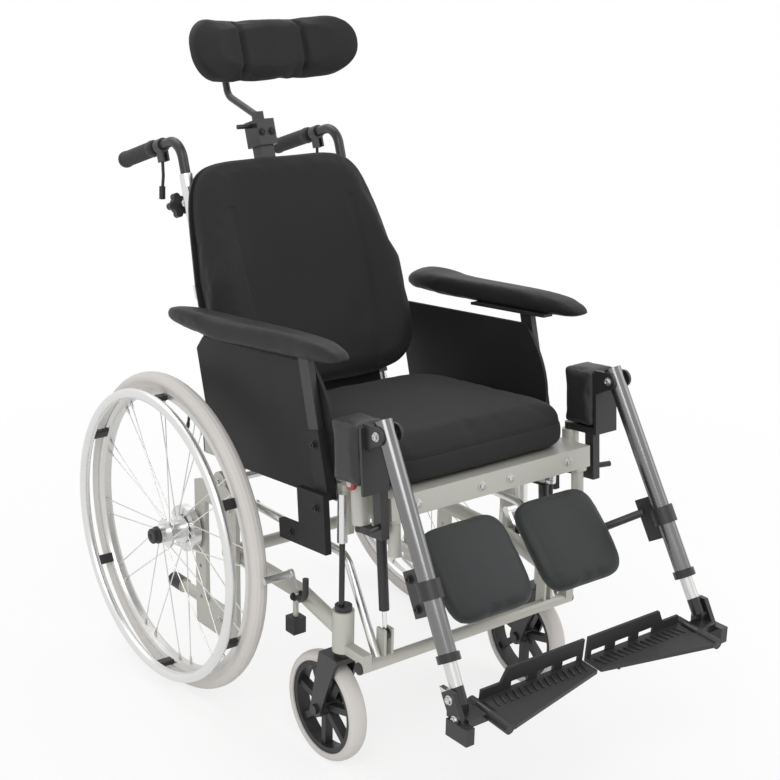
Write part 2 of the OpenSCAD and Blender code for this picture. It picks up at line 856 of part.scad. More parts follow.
// Rear wheels
module around_axle() chair() translate([0, 0, wheel_r]) rotate([0, 90, 0]) children();
module rear_tyre(side) color(tyre_colour) around_axle() translate([0, 0, side * wheel_x])
    rotate_extrude($fn = 96) intersection() {
        union() {
            translate([wheel_r - tyre_w / 2, 0]) circle(tyre_w / 2);
            translate([bead_r, -tyre_w * tyre_foot_share / 2])
                square([tyre_h - tyre_w / 2, tyre_w * tyre_foot_share]);
        }
        translate([bead_r, -tyre_w]) square([tyre_h, 2 * tyre_w]);
    }
module rear_rim(side) color(bright_colour) around_axle() translate([0, 0, side * wheel_x])
    rotate_extrude($fn = 96) polygon([[bead_r, -rim_w / 2], [bead_r, rim_w / 2],
        [rim_in_r + rim_wall, rim_w / 2], [rim_in_r, rim_w / 4], [rim_in_r, -rim_w / 4],
        [rim_in_r + rim_wall, -rim_w / 2]]);
module handrim(side) color(bright_colour) around_axle() {
    rotate_extrude($fn = 96) translate([handrim_r, side * handrim_x]) circle(handrim_tube_r);
    rim_side = wheel_x + rim_w / 2;
    for (k = [0:tab_count - 1]) rotate([0, 0, 360 * k / tab_count])
        translate([handrim_r - tab_t, -tab_w / 2, side > 0 ? rim_side : -handrim_x])
        cube([tab_t, tab_w, handrim_x - rim_side]);
}
module rear_hub(side) color(bright_colour) around_axle() {
    low = side > 0 ? hub_in : -hub_out;
    drum_low = side > 0 ? hub_in : -hub_in - drum_w;
    cap_low = side > 0 ? hub_out : -hub_out - hub_cap_l;
    difference() {
        union() {
            translate([0, 0, low]) cylinder(h = hub_out - hub_in, r = hub_r);
            translate([0, 0, drum_low]) cylinder(h = drum_w, r = drum_r);
            for (e = [-1, 1]) translate([0, 0, side * wheel_x + e * flange_spread - flange_t / 2])
                cylinder(h = flange_t, r = flange_r);
            translate([0, 0, cap_low]) cylinder(h = hub_cap_l, r = hub_cap_r);
        }
        translate([0, 0, side > 0 ? hub_in - cut : -hub_out - rest_gap])
            cylinder(h = hub_out - hub_in + cut + rest_gap, r = axle_r + play);
    }
    // Spokes lean forwards from one flange and backwards from the other
    for (k = [0:spoke_count - 1]) {
        e = k % 2 * 2 - 1;
        a = 360 * k / spoke_count;
        from_r = flange_r + rest_gap;
        to_r = rim_in_r - rest_gap;
        rod([from_r * cos(a), from_r * sin(a), side * wheel_x + e * flange_spread],
            [to_r * cos(a + e * spoke_lean_angle), to_r * sin(a + e * spoke_lean_angle),
            side * wheel_x + e * spoke_r * 2], spoke_r);
    }
}

// Castors
module castor_place(side) chair() translate([side * castor_x, -castor_ahead, 0]) children();
module castor_fork(side) color(black_colour) castor_place(side) {
    translate([0, 0, crown_z + crown_t]) cylinder(h = bearing_top - crown_z - crown_t, r = bearing_r);
    translate([0, 0, bearing_top]) cylinder(h = housing_top + rest_gap - bearing_top, r = stem_r);
    translate([0, 0, housing_top + rest_gap]) cylinder(h = stem_cap_h, r = bearing_r);
    block([-fork_gap - fork_t, -crown_half, crown_z],
        [fork_gap + fork_t, crown_rear, crown_z + crown_t]);
    for (e = [0, 1]) {
        upright_plate(e == 0 ? -fork_gap - fork_t : fork_gap, fork_t) {
            polygon([[-crown_half, crown_z + crown_t], [crown_rear, crown_z + crown_t],
                [castor_trail + fork_leg_r, castor_r], [castor_trail - fork_leg_r, castor_r]]);
            translate([castor_trail, castor_r]) circle(fork_leg_r);
        }
        cross_bar((2 * e - 1) * (fork_gap + fork_t), (2 * e - 1) * (fork_gap + fork_t + fork_bolt_h),
            castor_trail, castor_r, fork_bolt_r);
    }
    cross_bar(-fork_gap, fork_gap, castor_trail, castor_r, castor_axle_r);
}
module castor_wheel(side) color(black_colour) castor_place(side)
    translate([0, castor_trail, castor_r]) rotate([0, 90, 0]) difference() {
        union() {
            translate([0, 0, -castor_hub_w / 2]) cylinder(h = castor_hub_w, r = castor_hub_r);
            rotate_extrude() translate([castor_rim_r - castor_rim_wall, -castor_rim_w / 2])
                square([castor_rim_wall, castor_rim_w]);
            for (k = [0:castor_spokes - 1]) rotate([0, 0, 360 * k / castor_spokes])
                translate([0, -castor_spoke_w / 2, -castor_rim_w / 2 + castor_rim_wall / 2])
                cube([castor_rim_r - castor_rim_wall / 2, castor_spoke_w, castor_rim_w - castor_rim_wall]);
        }
        translate([0, 0, -castor_hub_w]) cylinder(h = 2 * castor_hub_w, r = castor_axle_r + play);
    }
module castor_tyre(side) color(tyre_colour) castor_place(side)
    translate([0, castor_trail, castor_r]) rotate([0, 90, 0]) rotate_extrude($fn = 72) difference() {
        union() {
            translate([castor_r - castor_w / 4, 0]) circle(castor_w / 4);
            for (e = [-1, 1]) translate([castor_r - castor_w / 3, e * castor_w / 6]) circle(castor_w / 3);
            translate([castor_rim_r, -castor_w / 2]) square([castor_w / 8, castor_w]);
        }
        translate([0, -castor_w]) square([castor_rim_r, 2 * castor_w]);
        translate([castor_r, -castor_w]) square([castor_r, 2 * castor_w]);
    }

// Seat frame with its plate, pivot ears, hinge pins and receivers
module seat_frame() color(frame_colour) seat() {
    rail_low = rail_top - rail_h;
    inner = frame_half - rail_w;
    difference() {
        union() {
            block([-frame_half, -seat_front, rail_low], [frame_half, -seat_front + rail_w, rail_top]);
            for (s = sides) {
                side_block(s, [inner, -seat_front, rail_low], [frame_half, seat_rear, rail_top]);
                side_block(s, [frame_half, -swing_ahead - receiver_web_half, rail_low],
                    [swing_x, -swing_ahead + receiver_web_half, rail_top]);
                translate([s * swing_x, -swing_ahead, receiver_low])
                    cylinder(h = receiver_high - receiver_low, r = receiver_r);
            }
            for (y = [-mid_cross_ahead, rear_cross_back])
                block([-inner, y - cross_box_w / 2, rail_top - cross_box_h - plate_thick],
                    [inner, y + cross_box_w / 2, rail_top - plate_thick]);
        }
        for (s = sides) translate([s * swing_x, -swing_ahead, receiver_low - cut])
            cylinder(h = receiver_high - receiver_low + 2 * cut, r = swing_pin_r + play);
    }
    // Seat plate let in between the rails
    block([-inner, -seat_front + rail_w, rail_top - plate_thick],
        [inner, rear_cross_back + cross_box_w, rail_top]);
    for (s = sides) {
        // Pivot ear
        side_plate(s, frame_half, pivot_ear_t) difference() {
            union() {
                circle(pivot_boss_r);
                polygon([[-pivot_boss_r, 0], [pivot_boss_r, 0], [2 * pivot_boss_r, rail_low],
                    [2 * pivot_boss_r, rail_top], [-2 * pivot_boss_r, rail_top],
                    [-2 * pivot_boss_r, rail_low]]);
            }
            circle(pivot_pin_r + play);
        }
        // Back hinge pin
        cross_bar(s * inner, s * (cane_x - cane_r - rest_gap - hinge_head_t), hinge_back, hinge_up,
            hinge_pin_r);
        cross_bar(s * (cane_x - cane_r - rest_gap), s * (cane_x - cane_r - rest_gap - hinge_head_t),
            hinge_back, hinge_up, hinge_head_r);
        // Posts under the front rail
        translate([s * front_post_x, -front_post_ahead, rail_low - front_post_l])
            cylinder(h = front_post_l, r = front_post_r);
        translate([s * front_post_x, -front_post_ahead, rail_low - front_flange_t])
            cylinder(h = front_flange_t, r = front_flange_r);
        // Upper clevis of a tilt spring
        for (e = [-1, 1]) {
            ear_x = spring_x + e * (clevis_gap + clevis_t) / 2;
            side_block(s, [ear_x - clevis_t / 2, -spring_top_ahead - clevis_half,
                spring_top_up - clevis_under],
                [ear_x + clevis_t / 2, -spring_top_ahead + clevis_half, rail_low + clevis_half]);
        }
        side_block(s, [spring_x - clevis_gap / 2, -spring_top_ahead - clevis_half, rail_low - clevis_t],
            [inner, -spring_top_ahead + clevis_half, rail_low + clevis_half]);
        cross_bar(s * (spring_x - clevis_gap / 2 - clevis_t), s * (spring_x + clevis_gap / 2 + clevis_t),
            -spring_top_ahead, spring_top_up, spring_pin_r);
        // Spacers that carry the side panels
        for (y = [-panel_front + spacer_w, panel_rear - spacer_w])
            side_block(s, [frame_half, y - spacer_w / 2, rail_top - spacer_h],
                [panel_x, y + spacer_w / 2, rail_top]);
    }
    // Ears of the recline spring's front end
    for (e = [-1, 1]) translate([e * (strut_eye_w + strut_ear_t + rest_gap) / 2, 0, 0])
        block([-strut_ear_t / 2, -strut_ahead - strut_eye_r, strut_up - strut_eye_r],
            [strut_ear_t / 2, -strut_ahead + strut_eye_r, rail_top - cross_box_h]);
    cross_bar(-strut_eye_w / 2 - strut_ear_t, strut_eye_w / 2 + strut_ear_t, -strut_ahead,
        strut_up, strut_pin_r);
    // Saddles of the support legs
    for (s = sides) difference() {
        side_block(s, [frame_half, -seat_y(support_ahead) - saddle_half, -saddle_drop],
            [frame_half + saddle_w, -seat_y(support_ahead) + saddle_half, rail_top - rest_gap]);
        rotate([seat_tilt, 0, 0]) translate([s * support_x, pivot_ahead - support_ahead, -pivot_z])
            cylinder(h = 2 * pivot_z, r = support_sleeve_r);
    }
}
// Distance ahead of the pivot, along the seat, of a place that far ahead of the axle at rail height
function seat_y(ahead) = (ahead - pivot_ahead) * cos(seat_tilt);

// Sleeves and rods that stand the seat's front on the castor housings
module support_legs() color(bright_colour) chair() for (s = sides)
    translate([s * support_x, -support_ahead, 0]) {
        foot_z = housing_top + rest_gap + stem_cap_h + rest_gap;
        translate([0, 0, foot_z]) cylinder(h = support_sleeve_z - foot_z, r = support_rod_r);
        translate([0, 0, support_sleeve_z]) cylinder(h = support_sleeve_top - support_sleeve_z,
            r = support_sleeve_r);
    }

module seat_cushion() color(pad_colour) seat()
    translate([0, -seat_front + cushion_l / 2, rail_top + cushion_gap])
    padded_form(
        function(a) drawn_in(a, cushion_half, cushion_l / 2, cushion_square, cushion_pull_share),
        pad_ring_shares,
        function(p, h) h * (cushion_h
            - cushion_h * cushion_drop_share * beyond(-p[1] / cushion_l, cushion_edge_share, 0.5)
            + cushion_crown * (1 - pow(p[0] / cushion_half, 2)) * (1 - pow(2 * p[1] / cushion_l, 2))),
        56);

// Side panels with the arm sockets
module side_panels() color(black_colour) seat() for (s = sides) {
    side_plate(s, panel_x, panel_t) {
        polygon([[panel_rear - panel_corner, panel_low], [panel_rear, panel_low + panel_corner],
            [panel_rear + panel_lean, panel_top - panel_corner],
            [panel_rear + panel_lean - panel_corner, panel_top],
            for (k = [0:panel_steps]) let (v = k / panel_steps)
                [-panel_front - panel_bulge * sin(180 * v) + panel_set * pow(1 - v, 4),
                panel_top + (panel_low - panel_top) * v]]);
    }
    // Cover below the arm socket, with a foot to the rear
    side_plate(s, sleeve_x + sleeve_t / 2 - sleeve_wall / 2, cover_t) {
        front = post_ahead + sleeve_w / 2;
        polygon([[-front, sleeve_low + cover_lap], [-front, -cover_down],
            [-cover_foot_back, -cover_down], [-cover_foot_back, cover_foot_h - cover_down],
            [-cover_back, cover_foot_h - cover_down], [-cover_back, sleeve_low + cover_lap]]);
    }
    arm_place(s) difference() {
        block([-sleeve_t / 2, -sleeve_w / 2, 0], [sleeve_t / 2, sleeve_w / 2, sleeve_l]);
        block([-sleeve_t / 2 + sleeve_wall, -sleeve_w / 2 + sleeve_wall, -cut],
            [sleeve_t / 2 - sleeve_wall, sleeve_w / 2 - sleeve_wall, sleeve_l + cut]);
    }
}
sleeve_x = panel_x + panel_t + sleeve_t / 2 - sleeve_let_in;
post_bar_l = (pad_z - bracket_t / 2 - sleeve_low) / cos(post_tilt) - post_drop;
module arm_place(side) translate([side * sleeve_x, -post_ahead, sleeve_low])
    rotate([-post_tilt, 0, 0]) children();
module armrest_post(side) color(black_colour) seat() {
    arm_place(side) block(
        [-sleeve_t / 2 + sleeve_wall + play, -sleeve_w / 2 + sleeve_wall + play, post_drop],
        [sleeve_t / 2 - sleeve_wall - play, sleeve_w / 2 - sleeve_wall - play, post_drop + post_bar_l]);
    top = pad_z - bracket_t;
    side_block(side, [sleeve_x - bracket_w / 2, -post_ahead - bracket_w / 2, top],
        [sleeve_x + bracket_w / 2, -post_ahead + bracket_l, pad_z]);
}
module armrest_pad(side) color(pad_colour) seat()
    translate([side * pad_centre_x, pad_rear - pad_l / 2, pad_z]) padded_form(
        function(a) let (p = drawn_in(a, pad_half, pad_l / 2, pad_square, 0), v = eased(p[1] / pad_l + 0.5))
            [p[0] * (pad_front_share + (1 - pad_front_share) * v) + side * pad_flare * (v - 0.5), p[1]],
        small_ring_shares,
        function(p, h) h * (pad_h - pad_h * pad_drop_share * beyond(-p[1] / pad_l, pad_edge_share, 0.5))
            + pad_flare * beyond(p[1] / pad_l, pad_flare_shares[0], pad_flare_shares[1])
            * eased(0.5 + side * p[0] / pad_half / 2),
        44);

// Back frame: canes, bars, lower lever, headrest clamp
module back_frame() color(bright_colour) back() {
    difference() {
        union() {
            for (s = sides) {
                x = s * cane_x;
                translate([x, 0, 0]) cylinder(h = cane_top, r = cane_r);
                cross_bar(x - cane_r, x + cane_r, 0, 0, hinge_eye_r);
                translate([x, 0, -lever_l]) cylinder(h = lever_l, r = lever_bar_r);
                rod([x, 0, knob_up], [x, cane_r + boss_l, knob_up], boss_r);
                side_block(s, [cane_x - cane_r, 0, bracket_up - bracket_high / 2],
                    [cane_x + cane_r, cane_r + bracket_back, bracket_up + bracket_high / 2]);
                for (z = back_bars) side_block(s, [cane_x - shell_pad_w / 2, shell_t - cushion_ahead,
                    z - shell_pad_h / 2],
                    [cane_x + shell_pad_w / 2, 0, z + shell_pad_h / 2]);
            }
            for (z = back_bars) cross_bar(-cane_x, cane_x, 0, z, back_bar_r);
            cross_bar(-cane_x, cane_x, 0, -lever_l, lever_bar_r);
            block([-neck_half, -neck_half, high_bar_up], [neck_half, neck_half, clamp_low]);
            block([-clamp_half, -clamp_depth, clamp_low], [clamp_half, clamp_depth, clamp_high]);
        }
        for (s = sides) {
            x = s * cane_x;
            cross_bar(x - cane_r - cut, x + cane_r + cut, 0, 0, hinge_pin_r + play);
            translate([x, 0, cane_bore_low]) cylinder(h = cane_top, r = handle_r + play);
            rod([x, 0, knob_up], [x, cane_r + boss_l + cut, knob_up], knob_screw_r + play);
        }
        block([-bar_half - play, -bar_half - play, bar_foot - neck_half * 2],
            [bar_half + play, bar_half + play, clamp_high + cut]);
    }
    rod([-clamp_half, 0, clamp_high - clamp_lever_r * 2],
        [-clamp_half - clamp_lever_l, 0, clamp_high - clamp_lever_r * 2], clamp_lever_r);
    // Ears of the recline spring's rear end
    for (e = [-1, 1]) translate([e * (strut_eye_w + strut_ear_t + 2 * play) / 2, 0, 0])
        difference() {
            rotate([0, 90, 0]) translate([lever_l, 0, -strut_ear_t / 2])
                cylinder(h = strut_ear_t, r = strut_eye_r + strut_ear_t);
            cross_bar(-strut_ear_t, strut_ear_t, 0, -lever_l, lever_bar_r);
        }
}

// Outline of the back in shares of its height, from its lower to its upper edge
back_width_shares = [[-1, 0.88], [-0.7, 0.98], [-0.4, 1], [0, 0.99], [0.4, 0.955], [0.75, 0.92], [1, 0.9]];
bolster_shares = [[-1, 0.8], [-0.6, 1], [0, 0.98], [0.3, 0.66], [0.6, 0.3], [1, 0]];
lumbar_share = 0.45;
back_thin_share = 0.12;
bolster_from_share = 0.45;
bolster_to_share = 0.9;
back_square = 6;
shell_share = 0.96;
back_mid = (back_low + back_high) / 2;
back_half_h = (back_high - back_low) / 2;
function back_outline(a) = let (p = drawn_in(a, back_half, back_half_h, back_square, 0),
    v = p[1] / back_half_h)
    [p[0] * lookup(v, back_width_shares), p[1]];

module back_shell() color(black_colour) back() translate([0, shell_t - cushion_ahead, back_mid])
    rotate([90, 0, 0]) linear_extrude(shell_t)
    polygon([for (k = [0:5:355]) shell_share * back_outline(k)]);
module back_cushion() color(pad_colour) back() translate([0, -cushion_ahead - rest_gap, back_mid])
    rotate([90, 0, 0]) padded_form(
        function(a) back_outline(a),
        pad_ring_shares,
        function(p, h) let (v = p[1] / back_half_h,
            u = abs(p[0]) / (back_half * lookup(v, back_width_shares)))
            h * (back_pad_t * (1 - back_thin_share * v + lumbar_share * eased(-v))
                + bolster_t * lookup(v, bolster_shares) * beyond(u, bolster_from_share, bolster_to_share)),
        64);

module push_handle(side) color(black_colour) back() {
    side_pipe(side * cane_x, [[0, handle_foot], [0, handle_z], [handle_l - grip_r / 2, handle_z]],
        handle_r, handle_bend);
    rod([side * cane_x, lever_block_back, handle_z],
        [side * cane_x, lever_block_back + lever_block_l, handle_z], lever_block_r);
    for (e = [-1, 1]) translate([side * cane_x + e * (lever_t + lever_ear_t + 2 * play) / 2, 0, 0])
        block([-lever_ear_t / 2, lever_block_back, handle_z - lever_pin_down - lever_eye_r],
            [lever_ear_t / 2, lever_block_back + lever_block_l, handle_z - handle_r / 2]);
    cross_bar(side * cane_x - lever_t / 2 - lever_ear_t, side * cane_x + lever_t / 2 + lever_ear_t,
        lever_pin_back, handle_z - lever_pin_down, lever_pin_r);
}
module handle_grip(side) color(black_colour) back() difference() {
    rod([side * cane_x, handle_l - grip_l, handle_z], [side * cane_x, handle_l, handle_z], grip_r);
    rod([side * cane_x, handle_l - grip_l - cut, handle_z],
        [side * cane_x, handle_l - grip_r / 2, handle_z], handle_r);
}
module release_lever(side) color(black_colour) back()
    translate([side * cane_x, lever_pin_back, handle_z - lever_pin_down]) {
        eye(0, 0, 0, lever_t, lever_eye_r, lever_pin_r + play);
        difference() {
            side_pipe(0, [[0, 0], [lever_sweep / 3, -lever_reach / 2], [lever_sweep, -lever_reach]],
                lever_bar_t / 2, lever_reach / 4);
            cross_bar(-lever_t, lever_t, 0, 0, lever_eye_r - play);
        }
        rod(lever_tip_shares[0] * [0, lever_sweep, -lever_reach],
            lever_tip_shares[1] * [0, lever_sweep, -lever_reach], lever_grip_r);
    }
module height_knob(side) color(black_colour) back()
    translate([side * cane_x, 0, knob_up]) rotate([-90, 0, 0]) {
        translate([0, 0, handle_r + rest_gap]) cylinder(h = knob_back - handle_r, r = knob_screw_r);
        translate([0, 0, knob_back]) linear_extrude(knob_t) {
            circle(knob_r);
            for (k = [0:knob_lobes - 1]) rotate(360 * (k + 0.5) / knob_lobes)
                translate([knob_r, 0]) circle(knob_lobe_r);
        }
    }

module headrest_arm() color(black_colour) back() {
    block([-bar_half, -bar_half, bar_foot], [bar_half, bar_half, clamp_high + bar_half * 2]);
    low = clamp_high + bar_half;
    side_pipe(0, [[0, low], [head_arm_reach, low + head_arm_step * 2],
        [head_arm_reach, head_pivot_z + head_arm_step / 2],
        [-head_pivot_ahead, head_pivot_z]], head_arm_r, head_arm_bend);
    cross_bar(-head_pin_l / 2, head_pin_l / 2, -head_pivot_ahead, head_pivot_z, head_pin_r);
}
module headrest_pad() color(pad_colour) back() {
    difference() {
        union() {
            for (e = [-1, 1]) translate([e * (head_ear_gap + head_ear_t / 2), 0, 0]) {
                block([-head_ear_t / 2, head_back_y(), head_pivot_z - head_pin_r * 2],
                    [head_ear_t / 2, -head_pivot_ahead, head_pivot_z + head_pin_r * 2]);
                cross_bar(-head_ear_t / 2, head_ear_t / 2, -head_pivot_ahead, head_pivot_z, head_pin_r * 2);
            }
            block([-head_plate_half, head_back_y(), head_pivot_z - head_plate_half / 2],
                [head_plate_half, head_back_y() + head_plate_t, head_pivot_z + head_plate_half / 2]);
        }
        cross_bar(-head_plate_half, head_plate_half, -head_pivot_ahead, head_pivot_z, head_pin_r + play);
    }
    translate([0, head_back_y(), headrest_z]) rotate([90, 0, 0]) padded_form(
        function(a) drawn_in(a, headrest_half, headrest_h / 2, head_square, 0),
        pad_ring_shares,
        function(p, h) let (u = abs(p[0]) / headrest_half)
            headrest_wing * pow(max(0, (u - head_flat_share) / (1 - head_flat_share)), head_curve)
            + h * headrest_t * (1 - head_thin_share * u),
        48);
}
function head_back_y() = -head_pivot_ahead - head_pin_r * 2 - head_plate_t;

// Hangers that swing the legs aside
module legrest_hanger(side) color(black_colour) seat() {
    upper = receiver_high + rest_gap;
    lower = receiver_low - rest_gap;
    translate([side * swing_x, -swing_ahead, lower - hanger_arm_t])
        cylinder(h = upper - lower + 2 * hanger_arm_t, r = swing_pin_r);
    for (z = [lower - hanger_arm_t, upper]) side_block(side, [swing_x - hanger_bar_w / 2, -hanger_front, z],
        [swing_x + hanger_bar_w / 2, -swing_ahead, z + hanger_arm_t - rest_gap]);
    side_block(side, [swing_x - hanger_bar_w / 2, -hanger_front, lower - hanger_arm_t],
        [swing_x + hanger_bar_w / 2, -hanger_front + hanger_bar_l, upper + hanger_arm_t - rest_gap]);
    side_block(side, [knee_pad_in + hanger_core_t, -knee_pad_front - hanger_core_t, upper],
        [knee_pad_out - hanger_core_t, -knee_pad_front, knee_pad_high - hanger_core_t]);
    // Ears and pin of the knee hinge
    for (e = [-1, 1]) {
        x = knee_x + e * (knee_ear_half + knee_ear_t / 2);
        side_plate(side, x - knee_ear_t / 2, knee_ear_t) {
            translate([-knee_ahead, knee_up]) circle(knee_ear_r);
            polygon([[-knee_ahead, knee_up - knee_ear_r], [-knee_pad_front, knee_up - 2 * knee_ear_r],
                [-knee_pad_front, knee_up + knee_ear_r], [-knee_ahead, knee_up + knee_ear_r]]);
        }
    }
    cross_bar(side * (knee_x - knee_ear_half - knee_ear_t), side * (knee_x + knee_ear_half + knee_ear_t),
        -knee_ahead, knee_up, knee_pin_r);
    // Latch lever and push button
    rod([side * swing_x, -hanger_front + hanger_bar_l / 2, latch_up],
        [side * (swing_x + latch_l), -hanger_front, latch_up], latch_r);
    cross_bar(side * (swing_x + hanger_bar_w / 2), side * (swing_x + hanger_bar_w / 2 + button_l),
        -swing_ahead - hanger_bar_l / 2, upper + hanger_arm_t / 2, button_r);
}
module knee_pad(side) color(pad_colour) seat()
    translate([side * (knee_pad_in + knee_pad_out) / 2, -(knee_pad_front + knee_pad_rear) / 2 + rest_gap,
        knee_pad_low + rest_gap]) padded_form(
        function(a) drawn_in(a, (knee_pad_out - knee_pad_in) / 2, (knee_pad_front - knee_pad_rear) / 2,
            knee_square, 0),
        small_ring_shares,
        function(p, h) h * (knee_pad_high - knee_pad_low),
        32);

module leg_tube(side) color(dark_metal_colour) difference() {
    leg(side) difference() {
        union() {
            translate([0, 0, -leg_l]) cylinder(h = leg_l + leg_head, r = leg_r);
            translate([0, 0, -leg_l - rest_gap]) cylinder(h = collar_l, r = collar_r);
        }
        translate([0, 0, -leg_l - collar_l]) cylinder(h = leg_l + collar_l - leg_bore_top,
            r = extension_r + play);
    }
    seat() cross_bar(side * (knee_x - 2 * leg_r), side * (knee_x + 2 * leg_r), -knee_ahead, knee_up,
        knee_pin_r + play);
}
module extension_tube(side) color(bright_colour) {
    leg(side) translate([0, 0, -foot_down]) cylinder(h = foot_down - extension_top, r = extension_r);
    leg_place(side, foot_down) {
        // Outer carrier plate, which follows the leg's pitch
        lean = tan(chair_pitch);
        side_plate(side, extension_r, carrier_t) polygon([
            [carrier_up * lean - carrier_half, carrier_up],
            [carrier_up * lean + carrier_half, carrier_up],
            [-carrier_down * lean + carrier_half, -carrier_down],
            [-carrier_down * lean - carrier_half, -carrier_down]]);
        side_block(side, [extension_r, -carrier_toe_l, -carrier_down],
            [extension_r + carrier_toe_w, carrier_half / 4, -carrier_down + carrier_toe_h]);
        side_block(side, [-extension_r / 2, -extension_r, -foot_hinge_down - knuckle_r / 2],
            [extension_r + carrier_t, extension_r, extension_r / 2]);
    }
    foot(side) {
        rod([0, 0, 0], [0, -knuckle_l, 0], knuckle_r);
        side_block(side, [0, -knuckle_l + play, -knuckle_r], [foot_hinge_in + extension_r, -play,
            knuckle_r / 2]);
        rod([0, foot_pin_rear, 0], [0, -foot_pin_front, 0], foot_pin_r);
    }
}
module footplate(side) color(black_colour) foot(side) {
    difference() {
        union() {
            translate([0, 0, -foot_t / 2]) linear_extrude(foot_t) polygon([
                [-side * foot_in, foot_rear], [-side * foot_reach, foot_rear],
                [-side * foot_reach, foot_rear - foot_inner_depth],
                [-side * foot_in, foot_rear - foot_depth]]);
            // Rear edge, low beside the leg so that the plate folds up past the tube
            translate([0, foot_rear, 0]) rotate([90, 0, 0]) linear_extrude(heel_t) polygon([
                [-side * foot_in, 0], [-side * foot_in, heel_low],
                [-side * heel_from, heel_low], [-side * (heel_from + heel_rise), heel_h],
                [-side * foot_reach, heel_h], [-side * foot_reach, 0]]);
            for (k = [1:4]) let (x = foot_in + k * (foot_reach - foot_in) / 5)
                side_block(-side, [x - foot_rib_t / 2, foot_rear - foot_inner_depth,
                    -foot_t / 2 - foot_rib_h],
                [x + foot_rib_t / 2, foot_rear, 0]);
            for (y = [[play * 4, foot_pin_rear], [-foot_pin_front, -knuckle_l - play * 4]]) {
                rod([0, y[0], 0], [0, y[1], 0], knuckle_r);
                side_block(-side, [0, y[0], -foot_t / 2], [foot_in + cut, min(y[1], foot_rear),
                    foot_t / 2]);
            }
        }
        rod([0, foot_pin_rear + cut, 0], [0, -foot_pin_front - cut, 0], foot_pin_r + play);
        // Windows along the foot of the rear edge
        for (k = [0:foot_slot_count - 1]) {
            from = heel_from + heel_rise;
            x = from + (k + 0.5) * (foot_reach - from) / foot_slot_count;
            side_block(-side, [x - foot_slot_l / 2, foot_rear - heel_t - cut, foot_t / 2],
                [x + foot_slot_l / 2, foot_rear + cut, foot_t / 2 + foot_slot_w]);
        }
    }
}

// Calf pads on arms that turn round the leg tubes
module calf_arm(side) color(black_colour) {
    leg(side) translate([0, 0, -calf_down]) difference() {
        union() {
            translate([0, 0, -calf_ring_l / 2]) cylinder(h = calf_ring_l, r = calf_ring_r);
            side_block(side, [-calf_bracket_t / 2, leg_r, -calf_bracket_l / 2],
                [calf_bracket_t / 2, calf_bracket_back, calf_bracket_l / 2]);
        }
        translate([0, 0, -calf_bracket_l]) cylinder(h = 2 * calf_bracket_l, r = leg_r + play);
    }
    leg_place(side, calf_down) {
        mirror([side > 0 ? 0 : 1, 0, 0]) {
            rod(calf_elbow, calf_shoulder, calf_arm_r);
            translate(calf_shoulder) sphere(calf_ball_r);
            rod(calf_shoulder, calf_back(), calf_arm_r);
        }
        calf_tilt(side) translate([0, 0, -calf_plate_t]) cylinder(h = calf_plate_t, r = calf_plate_r);
    }
}
function calf_back() = calf_centre
    + (calf_t + calf_plate_t + calf_arm_r / 2) * [0, cos(calf_pitch), -sin(calf_pitch)];
// The pad's underside, with its padding along +Z
module calf_tilt(side) translate([side * calf_centre[0], calf_centre[1] + calf_t * cos(calf_pitch),
    calf_centre[2] - calf_t * sin(calf_pitch)]) rotate([90 - calf_pitch, 0, 0]) children();
module calf_pad(side) color(pad_colour) leg_place(side, calf_down) calf_tilt(side) padded_form(
    function(a) drawn_in(a, calf_w / 2, calf_h / 2, calf_square, calf_pull_share),
    small_ring_shares,
    function(p, h) rest_gap * (1 - h)
        + h * calf_t * (1 - calf_drop_share * pow(2 * norm(p) / norm([calf_w, calf_h]), 2)),
    36);

// Tilt springs: the cylinders hang from the seat and the rods reach the front cross tube
spring_top = from_seat([-spring_top_ahead, spring_top_up]);
spring_low = [-spring_low_ahead, spring_low_z];
spring_run = spring_low - spring_top;
module spring_place(side) chair() translate([side * spring_x, spring_top[0], spring_top[1]])
    rotate([atan2(-spring_run[1], -spring_run[0]) - 90, 0, 0]) mirror([0, 0, 1]) children();
module tilt_cylinders() color(black_colour) for (s = sides) spring_place(s) {
    eye(0, 0, 0, spring_eye_w, spring_eye_r, spring_pin_r + play);
    translate([0, 0, spring_eye_r - play]) cylinder(h = spring_neck - spring_eye_r + 2 * play,
        r = spring_neck_r);
    difference() {
        translate([0, 0, spring_neck]) cylinder(h = spring_cylinder_l - spring_neck,
            r = spring_cylinder_r);
        translate([0, 0, spring_neck + spring_rod_r]) cylinder(h = spring_cylinder_l,
            r = spring_rod_r + play);
    }
}
module tilt_rods() color(bright_colour) for (s = sides) spring_place(s) {
    length = norm(spring_run);
    eye(0, 0, length, spring_eye_w, spring_eye_r + cut, open_eye_bore);
    rod_top = spring_cylinder_l - spring_hidden;
    translate([0, 0, rod_top]) cylinder(h = length - open_eye_bore - rest_gap - rod_top,
        r = spring_rod_r);
}

